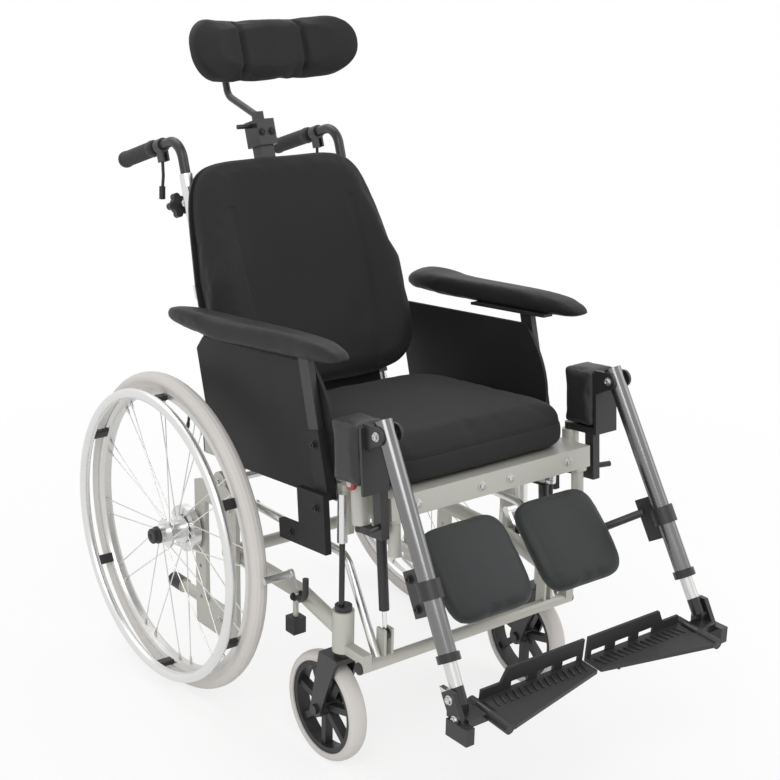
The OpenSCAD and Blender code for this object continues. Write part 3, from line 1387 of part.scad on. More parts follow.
// Recline spring between the seat's middle bar and the back's lower lever
strut_from = [-strut_ahead, strut_up];
strut_to = [hinge_back, hinge_up] + turned([0, -lever_l], back_recline);
strut_run = strut_to - strut_from;
module recline_place() seat() translate([0, strut_from[0], strut_from[1]])
    rotate([atan2(strut_run[1], strut_run[0]), 0, 0]) children();
module recline_cylinder() color(black_colour) recline_place() {
    eye(0, 0, 0, strut_eye_w, strut_eye_r, strut_pin_r + play);
    rod([0, strut_eye_r - play, 0], [0, strut_neck + play, 0], strut_neck_r);
    difference() {
        rod([0, strut_neck, 0], [0, strut_l, 0], strut_r);
        rod([0, strut_neck + strut_r, 0], [0, strut_l + cut, 0], strut_rod_r + play);
    }
}
module recline_rod() color(bright_colour) recline_place() {
    length = norm(strut_run);
    eye(0, length, 0, strut_eye_w - 2 * play, strut_open_bore + strut_ear_t, strut_open_bore);
    rod([0, strut_l - strut_hidden, 0], [0, length - strut_open_bore - rest_gap, 0], strut_rod_r);
}

base_frame();
base_braces();
axle_plates();
anti_tipper(left);  // anti_tipper_left
anti_tipper(right);  // anti_tipper_right
wheel_lock(left);  // wheel_lock_left
wheel_lock(right);  // wheel_lock_right
rear_tyre(left);  // rear_tyre_left
rear_tyre(right);  // rear_tyre_right
rear_rim(left);  // rear_rim_left
rear_rim(right);  // rear_rim_right
rear_hub(left);  // rear_hub_left
rear_hub(right);  // rear_hub_right
handrim(left);  // handrim_left
handrim(right);  // handrim_right
castor_fork(left);  // castor_fork_left
castor_fork(right);  // castor_fork_right
castor_wheel(left);  // castor_wheel_left
castor_wheel(right);  // castor_wheel_right
castor_tyre(left);  // castor_tyre_left
castor_tyre(right);  // castor_tyre_right
seat_frame();
support_legs();
seat_cushion();
side_panels();
armrest_post(left);  // armrest_post_left
armrest_post(right);  // armrest_post_right
armrest_pad(left);  // armrest_pad_left
armrest_pad(right);  // armrest_pad_right
back_frame();
back_shell();
back_cushion();
push_handle(left);  // push_handle_left
push_handle(right);  // push_handle_right
handle_grip(left);  // handle_grip_left
handle_grip(right);  // handle_grip_right
release_lever(left);  // release_lever_left
release_lever(right);  // release_lever_right
height_knob(left);  // height_knob_left
height_knob(right);  // height_knob_right
headrest_arm();
headrest_pad();
legrest_hanger(left);  // legrest_hanger_left
legrest_hanger(right);  // legrest_hanger_right
knee_pad(left);  // knee_pad_left
knee_pad(right);  // knee_pad_right
leg_tube(left);  // leg_tube_left
leg_tube(right);  // leg_tube_right
extension_tube(left);  // extension_tube_left
extension_tube(right);  // extension_tube_right
footplate(left);  // footplate_left
footplate(right);  // footplate_right
calf_arm(left);  // calf_arm_left
calf_arm(right);  // calf_arm_right
calf_pad(left);  // calf_pad_left
calf_pad(right);  // calf_pad_right
tilt_cylinders();
tilt_rods();
recline_cylinder();
recline_rod();
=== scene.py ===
"""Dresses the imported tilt-in-space wheelchair.

Padded covers, tyres, grips, fasteners and small fittings are made round the CAD pieces, every piece
gets its finish, and a pale studio with a camera shows the chair.
"""
import bpy
import bmesh
import math
import numpy as np
from mathutils import Matrix, Vector, noise
from mathutils.bvhtree import BVHTree
from bpy.props import FloatProperty, FloatVectorProperty, IntProperty, PointerProperty


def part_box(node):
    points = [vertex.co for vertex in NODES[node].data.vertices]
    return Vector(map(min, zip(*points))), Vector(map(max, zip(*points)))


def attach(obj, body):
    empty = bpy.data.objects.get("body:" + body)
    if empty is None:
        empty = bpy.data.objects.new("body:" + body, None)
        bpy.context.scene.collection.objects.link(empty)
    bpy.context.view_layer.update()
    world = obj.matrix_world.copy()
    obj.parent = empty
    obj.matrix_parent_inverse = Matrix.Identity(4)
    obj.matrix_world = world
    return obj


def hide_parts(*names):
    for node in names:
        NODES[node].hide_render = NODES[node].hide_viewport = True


bl_info = {
    "name": "Tilt-in-space wheelchair",
    "version": (1, 0, 0),
    "blender": (4, 5, 0),
    "location": "View3D > Sidebar > Wheelchair",
    "description": "Pieces, finishes and studio of a tilt-in-space wheelchair",
    "category": "Object",
}

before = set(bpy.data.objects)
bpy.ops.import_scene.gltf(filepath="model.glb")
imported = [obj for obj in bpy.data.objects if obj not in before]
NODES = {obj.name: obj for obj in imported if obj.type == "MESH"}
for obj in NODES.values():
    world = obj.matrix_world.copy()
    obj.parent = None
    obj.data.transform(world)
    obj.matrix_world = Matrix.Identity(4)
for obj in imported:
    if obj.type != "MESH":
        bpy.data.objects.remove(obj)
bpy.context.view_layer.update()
SIDES = {"left": 1, "right": -1}

# The frame's origin is under the middle of the chair's box, so the rear axle is read off a tyre.
AXLE_Y = sum(corner[1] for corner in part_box("rear_tyre_left")) / 2
WHEEL_Z = 0.305
WHEEL_X = 0.300

# Angles in degrees, the footplates' distance down the legs in metres, and the legs' way down.
SEAT_PITCH = 5
BACK_PITCH = 13
LEG_PITCH = 24.9
LEG_LEAN = 1.9
FOOT_DOWN = 0.427
LEG_WAY = (0.0, -0.55, -0.835)


def shift(x, y, z):
    """A place moved by x, y and z."""
    return Matrix.Translation((x, y, z))


def turned(degrees, axis):
    """A place turned round one of its axes."""
    return Matrix.Rotation(math.radians(degrees), 4, axis)


SEAT = shift(0, AXLE_Y - 0.100, 0.425) @ turned(-SEAT_PITCH, "X")
BACK = SEAT @ shift(0, 0.066, 0.041) @ turned(-BACK_PITCH, "X")


def leg(side):
    """Frame of a leg tube: its knee hinge, with the tube along -Z."""
    return (SEAT @ shift(side * 0.2545, -0.504, 0.187) @ turned(-LEG_PITCH, "X")
            @ turned(-side * LEG_LEAN, "Y"))


def down_leg(side, down):
    """A place down the leg with the chair's own axes."""
    return (leg(side) @ shift(0, 0, -down) @ turned(side * LEG_LEAN, "Y")
            @ turned(LEG_PITCH + SEAT_PITCH, "X"))


def foot(side):
    """Frame of a footplate's hinge."""
    return down_leg(side, FOOT_DOWN) @ shift(-side * 0.033, 0, -0.012) @ turned(5, "X")


def chair(x, ahead, z):
    """A point in the chair, given ahead of the rear axle."""
    return Vector((x, AXLE_Y - ahead, z))


def hub(side):
    """Frame of a rear wheel: its middle, with Z along the axle."""
    return shift(side * WHEEL_X, AXLE_Y, WHEEL_Z) @ turned(90, "Y")


def facing(point, way, spin=0.0):
    """A place at a point whose Z looks along way."""
    turn = Vector(way).to_track_quat("Z", "Y").to_matrix().to_4x4()
    return Matrix.Translation(Vector(point)) @ turn @ Matrix.Rotation(spin, 4, "Z")


# Settings

def length_setting(name, description, default, low, high):
    return FloatProperty(name=name, description=description, default=default, min=low, max=high,
                         unit="LENGTH")


def count_setting(name, description, default, low, high):
    return IntProperty(name=name, description=description, default=default, min=low, max=high)


def colour_setting(name, description, default):
    return FloatVectorProperty(name=name, description=description, default=default,
                               subtype="COLOR", size=3, min=0, max=1)


class ChairSizes(bpy.types.PropertyGroup):
    cushion_voxel: length_setting("Cushion mesh", "Mesh size of the padded pieces",
                                  0.006, 0.004, 0.01)
    cushion_start: length_setting("Cushion start", "How far a pad starts inside its final size",
                                  0.004, 0.001, 0.01)
    cushion_swell: length_setting("Cushion swell",
                                  "The most that a pad's cover may move as it fills",
                                  0.008, 0.002, 0.02)
    piping_radius: length_setting("Piping", "Radius of the welt along the covers' seams",
                                  0.0019, 0.001, 0.004)
    grip_ribs: count_setting("Grip ribs", "Number of ribs on a hand grip", 20, 6, 30)
    nipples: count_setting("Spokes", "Number of spokes in a rear wheel", 24, 16, 32)
    tabs: count_setting("Hand rim tabs", "Number of clips on a hand rim", 6, 4, 8)


class ChairColours(bpy.types.PropertyGroup):
    paint: colour_setting("Frame paint", "Champagne grey powder coat of the frame",
                          (0.515, 0.508, 0.458))
    bright: colour_setting("Bright metal", "Brushed aluminium", (0.74, 0.74, 0.735))
    dark: colour_setting("Grey metal", "Grey anodised leg tubes", (0.2, 0.2, 0.203))
    black: colour_setting("Black parts", "Black powder coat and moulded plastic",
                          (0.018, 0.018, 0.019))
    cover: colour_setting("Cushion cover", "Charcoal stretch cover", (0.023, 0.023, 0.0235))
    skin: colour_setting("Pad skin", "Grey skin of the calf pads", (0.026, 0.028, 0.0285))
    tyre: colour_setting("Tyre", "Light grey rubber of the tyres", (0.66, 0.635, 0.61))
    button: colour_setting("Button", "Red release buttons", (0.36, 0.02, 0.022))


def sizes():
    return bpy.context.scene.chair_sizes


def colours():
    return bpy.context.scene.chair_colours


# Shader nodes

def give(tree, socket, value):
    """Gives an input its value, or links another node's socket to it."""
    if isinstance(value, bpy.types.NodeSocket):
        tree.links.new(value, socket)
    else:
        socket.default_value = value


def add_node(tree, kind, settings=None, **inputs):
    """A node with its settings and inputs. An input goes by its name, or as i and its number."""
    node = tree.nodes.new(kind)
    for key, value in (settings or {}).items():
        setattr(node, key, value)
    for key, value in inputs.items():
        numbered = key[0] == "i" and key[1:].isdigit()
        give(tree, node.inputs[int(key[1:])] if numbered else node.inputs[key], value)
    return node


def maths(tree, operation, *values, vector=False, **settings):
    """A node that works out one number, or one vector, from values and sockets."""
    kind = "ShaderNodeVectorMath" if vector else "ShaderNodeMath"
    inputs = {"i%d" % k: value for k, value in enumerate(values)}
    return add_node(tree, kind, {"operation": operation, **settings}, **inputs)


def mixed(tree, kind, share, under, over):
    """A colour (RGBA) or a number (FLOAT) that goes from under to over as share goes to 1."""
    first, second, result = {"RGBA": (6, 7, 2), "FLOAT": (2, 3, 0)}[kind]
    node = add_node(tree, "ShaderNodeMix", {"data_type": kind}, Factor=share,
                    **{"i%d" % first: under, "i%d" % second: over})
    return node.outputs[result]


def put_group(tree, source, **inputs):
    return add_node(tree, "ShaderNodeGroup", {"node_tree": source}, **inputs)


def shared_group(name, outputs, **inputs):
    """Turns the function below into one that builds its shader group once and then finds it."""
    def wrap(fill):
        def group():
            if name in bpy.data.node_groups:
                return bpy.data.node_groups[name]
            tree = bpy.data.node_groups.new(name, "ShaderNodeTree")
            for label, default in inputs.items():
                kind = "NodeSocketVector" if isinstance(default, tuple) else "NodeSocketFloat"
                socket = tree.interface.new_socket(label, in_out="INPUT", socket_type=kind)
                socket.default_value = default
            for label in outputs:
                tree.interface.new_socket(label, in_out="OUTPUT", socket_type="NodeSocketFloat")
            start, end = tree.nodes.new("NodeGroupInput"), tree.nodes.new("NodeGroupOutput")
            for label, result in zip(outputs, fill(tree, start.outputs)):
                tree.links.new(result, end.inputs[label])
            return tree
        return group
    return wrap


@shared_group("Surface grain", ("Grain", "Mottle"), Point=(0.0, 0.0, 0.0), Fine=400.0, Broad=8.0)
def grain_group(tree, given):
    """Fine grain for relief and broad mottling for colour."""
    return [add_node(tree, "ShaderNodeTexNoise", i0=given["Point"], Scale=given[scale],
                     Detail=detail).outputs[0] for scale, detail in (("Fine", 3.0), ("Broad", 4.0))]


@shared_group("Knit", ("Knit",), Point=(0.0, 0.0, 0.0), Pitch=260.0)
def knit_group(tree, given):
    """Two crossing sets of ribs of a knitted cover."""
    across, up = (add_node(tree, "ShaderNodeTexWave", {"bands_direction": axis}, i0=given["Point"],
                           Scale=given["Pitch"], Distortion=1.2, Detail=1.0) for axis in ("X", "Z"))
    return maths(tree, "MULTIPLY", across.outputs[1], up.outputs[1]).outputs[:1]


@shared_group("Brushing", ("Streak",), Point=(0.0, 0.0, 0.0), Stretch=(600.0, 30.0, 600.0))
def brushing_group(tree, given):
    """Long fine scratches along one way of a metal."""
    stretched = maths(tree, "MULTIPLY", given["Point"], given["Stretch"], vector=True)
    return add_node(tree, "ShaderNodeTexNoise", i0=stretched.outputs[0], Scale=1.0,
                    Detail=2.0).outputs[:1]


@shared_group("Beyond a plane", ("Mask",), Point=(0.0, 0.0, 0.0), Way=(0.0, 0.0, 1.0), Reach=0.0)
def beyond_group(tree, given):
    """1 where the point lies beyond a plane, 0 before it."""
    along = maths(tree, "DOT_PRODUCT", given["Point"], given["Way"], vector=True)
    return maths(tree, "GREATER_THAN", along.outputs["Value"], given["Reach"]).outputs[:1]


@shared_group("Within paired boxes", ("Mask",), Point=(0.0, 0.0, 0.0), Centre=(0.0, 0.0, 0.0),
              Turn=(0.0, 0.0, 0.0), Half=(1.0, 1.0, 1.0))
def boxes_group(tree, given):
    """1 inside a turned box and inside its twin at the chair's other side."""
    point = add_node(tree, "ShaderNodeSeparateXYZ", i0=given["Point"])
    folded = add_node(tree, "ShaderNodeCombineXYZ",
                      X=maths(tree, "ABSOLUTE", point.outputs["X"]).outputs[0],
                      Y=point.outputs["Y"], Z=point.outputs["Z"])
    inside = add_node(tree, "ShaderNodeMapping", {"vector_type": "TEXTURE"},
                      Vector=folded.outputs[0], Location=given["Centre"], Rotation=given["Turn"],
                      Scale=given["Half"])
    off = maths(tree, "ABSOLUTE", inside.outputs[0], vector=True)
    share = add_node(tree, "ShaderNodeSeparateXYZ", i0=off.outputs[0])
    across = maths(tree, "MAXIMUM", share.outputs["X"], share.outputs["Y"])
    most = maths(tree, "MAXIMUM", across.outputs[0], share.outputs["Z"])
    return maths(tree, "LESS_THAN", most.outputs[0], 1.0).outputs[:1]


def past(way, reach):
    """The part of a piece beyond a plane."""
    return beyond_group, {"Way": way, "Reach": reach}


def boxed(place, low, high):
    """The part of a piece inside a box between two corners, in the axes of a place on the left."""
    low, high = Vector(low), Vector(high)
    return boxes_group, {"Centre": place @ ((low + high) / 2), "Turn": tuple(place.to_euler()),
                         "Half": (high - low) / 2}


# Finishes

def shade(colour, factor):
    return tuple(min(1.0, c * factor) for c in colour) + (1.0,)


def finish(name, colour, rough, metal=0.0, fine=900.0, broad=9.0, depth=0.15, mottle=0.12,
           rough_span=0.08, sheen=0.0, coat=0.0, shine=0.5, knit=0.0, brushed=None, black_in=()):
    """A material: mottled colour, uneven roughness and a fine relief, black in some regions.

    colour is three numbers or the name of a setting in ChairColours.
    """
    if isinstance(colour, str):
        colour = getattr(colours(), colour)
    material = bpy.data.materials.new(name)
    material.use_nodes = True
    tree = material.node_tree
    point = tree.nodes.new("ShaderNodeTexCoord").outputs["Object"]
    grain = put_group(tree, grain_group(), Point=point, Fine=fine, Broad=broad)
    colour_here = mixed(tree, "RGBA", grain.outputs["Mottle"], shade(colour, 1 - mottle),
                        shade(colour, 1 + mottle))
    metal_here = metal
    for region_group, values in black_in:
        mask = put_group(tree, region_group(), Point=point, **values).outputs["Mask"]
        colour_here = mixed(tree, "RGBA", mask, colour_here, shade(colours().black, 1.0))
        metal_here = mixed(tree, "FLOAT", mask, metal_here, 0.0)
    uneven = add_node(tree, "ShaderNodeMapRange", i0=grain.outputs["Mottle"],
                      i3=rough - rough_span, i4=rough + rough_span)
    height = grain.outputs["Grain"]
    if knit:
        height = put_group(tree, knit_group(), Point=point, Pitch=knit).outputs["Knit"]
    if brushed:
        height = put_group(tree, brushing_group(), Point=point, Stretch=brushed).outputs["Streak"]
    relief = add_node(tree, "ShaderNodeBump", Strength=depth, Distance=0.0006, Height=height)
    surface = {"Base Color": colour_here, "Metallic": metal_here, "Roughness": uneven.outputs[0],
               "Normal": relief.outputs[0], "Specular IOR Level": shine, "Coat Weight": coat,
               "Coat Roughness": 0.25}
    if sheen:
        surface.update({"Sheen Weight": sheen, "Sheen Roughness": 0.5})
    for label, value in surface.items():
        give(tree, tree.nodes["Principled BSDF"].inputs[label], value)
    return material


PAINT = dict(rough=0.42, metal=0.25, fine=1400, broad=7, depth=0.12, mottle=0.05)
BRUSHED = dict(rough=0.3, metal=1.0, depth=0.1, mottle=0.04, brushed=(900.0, 40.0, 900.0))
CHROME = dict(rough=0.12, metal=1.0, depth=0.02, mottle=0.03, rough_span=0.03)
CHROME_COLOUR = (0.8, 0.8, 0.8)

# What each finish is called, its colour, and its other settings.
FINISHES = {
    "frame_paint": ("Champagne powder coat", "paint", dict(PAINT, coat=0.15)),
    "bright_metal": ("Brushed aluminium", "bright", BRUSHED),
    "rim_metal": ("Anodised rim", (0.66, 0.655, 0.64),
                  dict(rough=0.36, metal=0.75, depth=0.06, mottle=0.05,
                       brushed=(60.0, 900.0, 900.0))),
    "chrome": ("Chromed rod", CHROME_COLOUR, CHROME),
    "black_metal": ("Black powder coat", "black",
                    dict(rough=0.42, fine=1600, depth=0.14, mottle=0.15, coat=0.1)),
    "black_plastic": ("Moulded black plastic", "black", dict(rough=0.5, fine=1100, depth=0.25)),
    "panel_plastic": ("Side panel plastic", (0.015, 0.015, 0.0155),
                      dict(rough=0.5, fine=1300, depth=0.3, mottle=0.1, shine=0.25)),
    "grip_rubber": ("Grip rubber", (0.016, 0.016, 0.017),
                    dict(rough=0.68, fine=1500, depth=0.3, mottle=0.15, sheen=0.1)),
    "tyre_rubber": ("Light grey tyre rubber", "tyre",
                    dict(rough=0.75, fine=1200, broad=14, depth=0.2, mottle=0.05)),
    "upholstery": ("Charcoal stretch cover", "cover",
                   dict(rough=0.72, broad=5, depth=0.35, mottle=0.1, knit=260.0, sheen=0.04,
                        shine=0.15)),
    "arm_skin": ("Moulded arm pad skin", (0.018, 0.018, 0.0185),
                 dict(rough=0.48, fine=1500, broad=10, depth=0.22, mottle=0.1, shine=0.25)),
    "knee_skin": ("Black knee pad skin", (0.016, 0.016, 0.0165),
                  dict(rough=0.45, fine=1500, broad=12, depth=0.2, mottle=0.1)),
    "calf_skin": ("Grey pad skin", "skin",
                  dict(rough=0.55, fine=1300, broad=6, depth=0.22, mottle=0.07, sheen=0.03,
                       shine=0.3)),
    "button_red": ("Red button plastic", "button",
                   dict(rough=0.4, depth=0.05, mottle=0.06, coat=0.3)),
    "button_pale": ("Pale button centre", (0.6, 0.58, 0.56),
                    dict(rough=0.4, depth=0.05, mottle=0.05)),
    "bolt_steel": ("Zinc-plated steel", (0.6, 0.6, 0.59),
                   dict(rough=0.32, metal=1.0, depth=0.05, mottle=0.1, broad=60)),
    "bolt_black": ("Blackened steel", (0.03, 0.03, 0.031),
                   dict(rough=0.4, metal=0.6, depth=0.05, mottle=0.1, broad=60)),
}

# The finish of the CAD nodes whose names begin so. Pieces made here stand for the others.
NODE_FINISHES = {
    "axle_plates": "frame_paint", "seat_frame": "frame_paint", "base_braces": "bright_metal",
    "rear_rim": "rim_metal", "rear_hub": "bright_metal", "handrim": "bright_metal",
    "castor_fork": "black_metal", "castor_wheel": "black_plastic", "side_panels": "panel_plastic",
    "armrest_post": "black_metal", "back_shell": "black_plastic", "push_handle": "black_metal",
    "release_lever": "black_plastic", "height_knob": "black_plastic",
    "headrest_arm": "black_metal", "headrest_pad": "black_metal",
    "legrest_hanger": "black_metal", "footplate": "black_plastic", "calf_arm": "black_metal",
    "tilt_cylinders": "black_metal", "recline_cylinder": "black_metal", "recline_rod": "chrome",
}

MADE_FINISHES = {}


def finish_named(name):
    """A finish of the chair, made at its first use."""
    if name not in MADE_FINISHES:
        label, colour, settings = FINISHES[name]
        MADE_FINISHES[name] = finish(label, colour, **settings)
    return MADE_FINISHES[name]


# Making and shaping pieces

def deselect_everything():
    if bpy.context.object and bpy.context.object.mode != "OBJECT":
        bpy.ops.object.mode_set(mode="OBJECT")
    bpy.ops.object.select_all(action="DESELECT")


def make_active(piece):
    deselect_everything()
    piece.select_set(True)
    bpy.context.view_layer.objects.active = piece


def edit_all():
    """Goes into edit mode with the whole mesh selected."""
    bpy.ops.object.mode_set(mode="EDIT")
    bpy.ops.mesh.select_all(action="SELECT")


def to_object_mode():
    bpy.ops.object.mode_set(mode="OBJECT")


def select_in_mesh(piece, kind, wanted):
    """In edit mode, selects the faces (FACE) or edges (EDGE) for which wanted is true."""
    bpy.ops.object.mode_set(mode="EDIT")
    bpy.ops.mesh.select_mode(type=kind)
    bpy.ops.mesh.select_all(action="DESELECT")
    mesh = bmesh.from_edit_mesh(piece.data)
    for part in mesh.faces if kind == "FACE" else mesh.edges:
        if wanted(part):
            part.select_set(True)
    bmesh.update_edit_mesh(piece.data)


def new_piece(name, data):
    piece = bpy.data.objects.new(name, data)
    bpy.context.scene.collection.objects.link(piece)
    return piece


def remove_models(*models):
    for model in models:
        bpy.data.objects.remove(model, do_unlink=True)


def joined(pieces):
    """Pieces made into one, which keeps the first one's name."""
    deselect_everything()
    for piece in pieces:
        piece.select_set(True)
    bpy.context.view_layer.objects.active = pieces[0]
    if len(pieces) > 1:
        bpy.ops.object.join()
    return pieces[0]


def place_copies(model, places, name):
    """Copies of a model's mesh at these places, joined into one object."""
    copies = []
    for place in places:
        mesh = model.data.copy()
        mesh.transform(place)
        if place.determinant() < 0:
            mesh.flip_normals()
        copies.append(new_piece(name, mesh))
    return joined(copies)


def settle(piece, name, body, material, smooth=35):
    """Puts a made piece's place into its mesh, names it, gives it its finish and its body."""
    make_active(piece)
    bpy.ops.object.transform_apply(location=True, rotation=True, scale=True)
    if smooth:
        bpy.ops.object.shade_smooth_by_angle(angle=math.radians(smooth))
    piece.name = name
    piece.data.name = name
    piece.data.materials.clear()
    piece.data.materials.append(finish_named(material))
    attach(piece, body)


def fit(model, places, name, body, material):
    """Fits copies of a model at these places, as one finished piece."""
    settle(place_copies(model, places, name), name, body, material)


def lathe(outline, steps, name, place=None):
    """A turned piece: an outline of (radius, height) pairs spun round Z, then put at a place."""
    mesh = bpy.data.meshes.new(name)
    rows = [(r, 0.0, z) for r, z in outline]
    mesh.from_pydata(rows, [(i, i + 1) for i in range(len(rows) - 1)], [])
    piece = new_piece(name, mesh)
    make_active(piece)
    edit_all()
    bpy.ops.mesh.spin(steps=steps, angle=2 * math.pi, center=(0, 0, 0), axis=(0, 0, 1), dupli=False)
    bpy.ops.mesh.select_all(action="SELECT")
    bpy.ops.mesh.remove_doubles(threshold=0.000005)
    bpy.ops.mesh.normals_make_consistent(inside=False)
    to_object_mode()
    if place:
        piece.data.transform(place)
    return piece


def rounded_bar(size, bevel, segments=3):
    """A block with rounded edges, centred on the origin."""
    deselect_everything()
    bpy.ops.mesh.primitive_cube_add(size=1, location=(0, 0, 0), scale=size)
    piece = bpy.context.object
    bpy.ops.object.transform_apply(location=True, rotation=True, scale=True)
    edit_all()
    bpy.ops.mesh.bevel(offset=bevel, segments=segments, affect="EDGES")
    to_object_mode()
    return piece


# Padded pieces

def merged_copy(node):
    """A copy of a CAD node's form, with its loose triangles joined."""
    mesh = NODES[node].data.copy()
    mesh.materials.clear()
    piece = new_piece(node + "_cover", mesh)
    make_active(piece)
    edit_all()
    bpy.ops.mesh.remove_doubles(threshold=0.00002)
    bpy.ops.mesh.customdata_custom_splitnormals_clear()
    bpy.ops.mesh.normals_make_consistent(inside=False)
    to_object_mode()
    return piece


def points_of(mesh):
    values = np.zeros(len(mesh.vertices) * 3, np.float32)
    mesh.vertices.foreach_get("co", values)
    return values.reshape(-1, 3).astype(float)


def normals_of(mesh):
    values = np.zeros(len(mesh.vertices) * 3, np.float32)
    mesh.vertex_normals.foreach_get("vector", values)
    return values.reshape(-1, 3).astype(float)


def set_points(mesh, points):
    mesh.vertices.foreach_set("co", points.astype(np.float32).ravel())
    mesh.update()


def through(place, points):
    """Points given in a place's axes, put into the chair's."""
    turn = np.array(place)
    return points @ turn[:3, :3].T + turn[:3, 3]


def apply_modifier(piece, kind, **settings):
    make_active(piece)
    modifier = piece.modifiers.new(kind.title(), kind)
    for key, value in settings.items():
        setattr(modifier, key, value)
    bpy.ops.object.modifier_apply(modifier=modifier.name)


def subdivided(piece):
    apply_modifier(piece, "SUBSURF", levels=1, render_levels=1)


CLOTH_STEPS = 20
CLOTH_SETTINGS = {
    "quality": 5, "mass": 0.3, "tension_stiffness": 12, "compression_stiffness": 12,
    "shear_stiffness": 4, "bending_stiffness": 0.4, "use_pressure": True,
    "uniform_pressure_force": 4,
}


def blown_up(piece):
    """The points of a piece's mesh after it has filled as cloth under pressure."""
    cloth = piece.modifiers.new("Filling", "CLOTH")
    for key, value in CLOTH_SETTINGS.items():
        setattr(cloth.settings, key, value)
    cloth.settings.effector_weights.gravity = 0
    cloth.collision_settings.use_collision = False
    cloth.collision_settings.use_self_collision = False
    scene = bpy.context.scene
    for step in range(1, CLOTH_STEPS + 1):
        scene.frame_set(step)
    points = points_of(piece.evaluated_get(bpy.context.evaluated_depsgraph_get()).data)
    piece.modifiers.remove(cloth)
    scene.frame_set(1)
    return points


def filled(piece, voxel, cap, start_in):
    """Fills a pad: its form is remeshed and blown up, and no point moves further than cap."""
    apply_modifier(piece, "REMESH", mode="VOXEL", voxel_size=voxel, use_smooth_shade=True)
    apply_modifier(piece, "SMOOTH", iterations=3, factor=0.5)
    mesh = piece.data
    start = points_of(mesh) - start_in * normals_of(mesh)
    set_points(mesh, start)
    swollen = blown_up(piece)
    move = swollen - start
    reach = np.maximum(np.linalg.norm(move, axis=1), 1e-9)
    move *= (np.minimum(reach, cap) / reach)[:, None]
    set_points(mesh, start + move)
    apply_modifier(piece, "SMOOTH", iterations=4, factor=0.5)
    return piece


def held_back(piece, place, low, high):
    """Keeps a pad inside a box in a place's axes, where it rests on its neighbours."""
    local = through(place.inverted(), points_of(piece.data))
    set_points(piece.data, through(place, np.clip(local, np.array(low), np.array(high))))


def sewn(piece, place, distance, width, depth):
    """Draws a seam in: points sink where distance(points in a place's axes) is small."""
    points = points_of(piece.data)
    near = np.exp(-(distance(through(place.inverted(), points)) / width) ** 2)
    set_points(piece.data, points - (near * depth)[:, None] * normals_of(piece.data))


def round_ended(piece, place, square):
    """Gives a pad of squared-oval outline a constant height and half-round ends."""
    local = through(place.inverted(), points_of(piece.data))
    middle = (local[:, 2].max() + local[:, 2].min()) / 2
    length, height = np.abs(local[:, 0]).max(), local[:, 2].max() - middle
    along = np.minimum(np.abs(local[:, 0]), 0.995 * length)
    squared = height * (1 - (along / length) ** square) ** (1 / square)
    past_straight = np.maximum(along - (length - height), 0)
    rounded = np.sqrt(height ** 2 - past_straight ** 2)
    local[:, 2] = middle + (local[:, 2] - middle) * rounded / squared
    set_points(piece.data, through(place, local))


def crumpled(piece, size, depth, seed):
    """Soft unevenness of a cover."""
    points = points_of(piece.data)
    offset = Vector((seed * 3.1, seed * 1.7, seed * 2.3))
    lift = np.array([noise.noise(Vector(p) / size + offset) for p in points])
    set_points(piece.data, points + (lift * depth)[:, None] * normals_of(piece.data))


def welt(piece, place, count, plane, sink, name, body):
    """A cord round a pad's cover, where count rays in a plane of a place meet the cover."""
    tree = BVHTree.FromPolygons([v.co for v in piece.data.vertices],
                                [p.vertices for p in piece.data.polygons])
    start = place.translation
    outside = 0.6
    path = []
    for k in range(count):
        a = 2 * math.pi * k / count
        way = (math.cos(a), math.sin(a), 0) if plane == "XY" else (math.cos(a), 0, math.sin(a))
        along = (place.to_3x3() @ Vector(way)).normalized()
        hit = tree.ray_cast(start + along * outside, -along)[0]
        if hit is not None:
            path.append(hit - along * sink)
    curve = bpy.data.curves.new(name, "CURVE")
    curve.dimensions = "3D"
    curve.bevel_depth = sizes().piping_radius
    curve.bevel_resolution = 3
    spline = curve.splines.new("POLY")
    spline.points.add(len(path) - 1)
    for point, co in zip(spline.points, path):
        point.co = (*co, 1)
    spline.use_cyclic_u = True
    make_active(new_piece(name, curve))
    bpy.ops.object.convert(target="MESH")
    settle(bpy.context.object, name, body, "upholstery")


def pad_piece(piece, name, body, node, material):
    """Finishes a pad: smooth cover, finish, body, and the CAD node that it stands for."""
    settle(piece, name, body, material, smooth=0)
    make_active(piece)
    bpy.ops.object.shade_smooth()
    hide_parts(node)


class SeatCushion(bpy.types.Operator):
    """Seat cushion: filled cover with a welt round its upper edge"""
    bl_idname = "wheelchair.seat_cushion"
    bl_label = "Seat cushion"

    def execute(self, context):
        s = sizes()
        plate_top = 0.0676
        welt_line = SEAT @ shift(0, -0.244, 0.115)
        piece = filled(merged_copy("seat_cushion"), s.cushion_voxel, s.cushion_swell,
                       s.cushion_start)
        held_back(piece, SEAT, (-0.221, -0.4735, plate_top), (0.221, 0.0, 0.163))
        subdivided(piece)
        crumpled(piece, 0.09, 0.0014, 1)
        sewn(piece, welt_line, lambda p: p[:, 2], 0.0035, 0.0022)
        held_back(piece, SEAT, (-0.222, -0.476, plate_top), (0.222, 0.0, 0.165))
        pad_piece(piece, "seat_cushion_cover", "seat", "seat_cushion", "upholstery")
        welt(piece, welt_line, 220, "XY", 0.0006, "seat_cushion_welt", "seat")
        return {"FINISHED"}


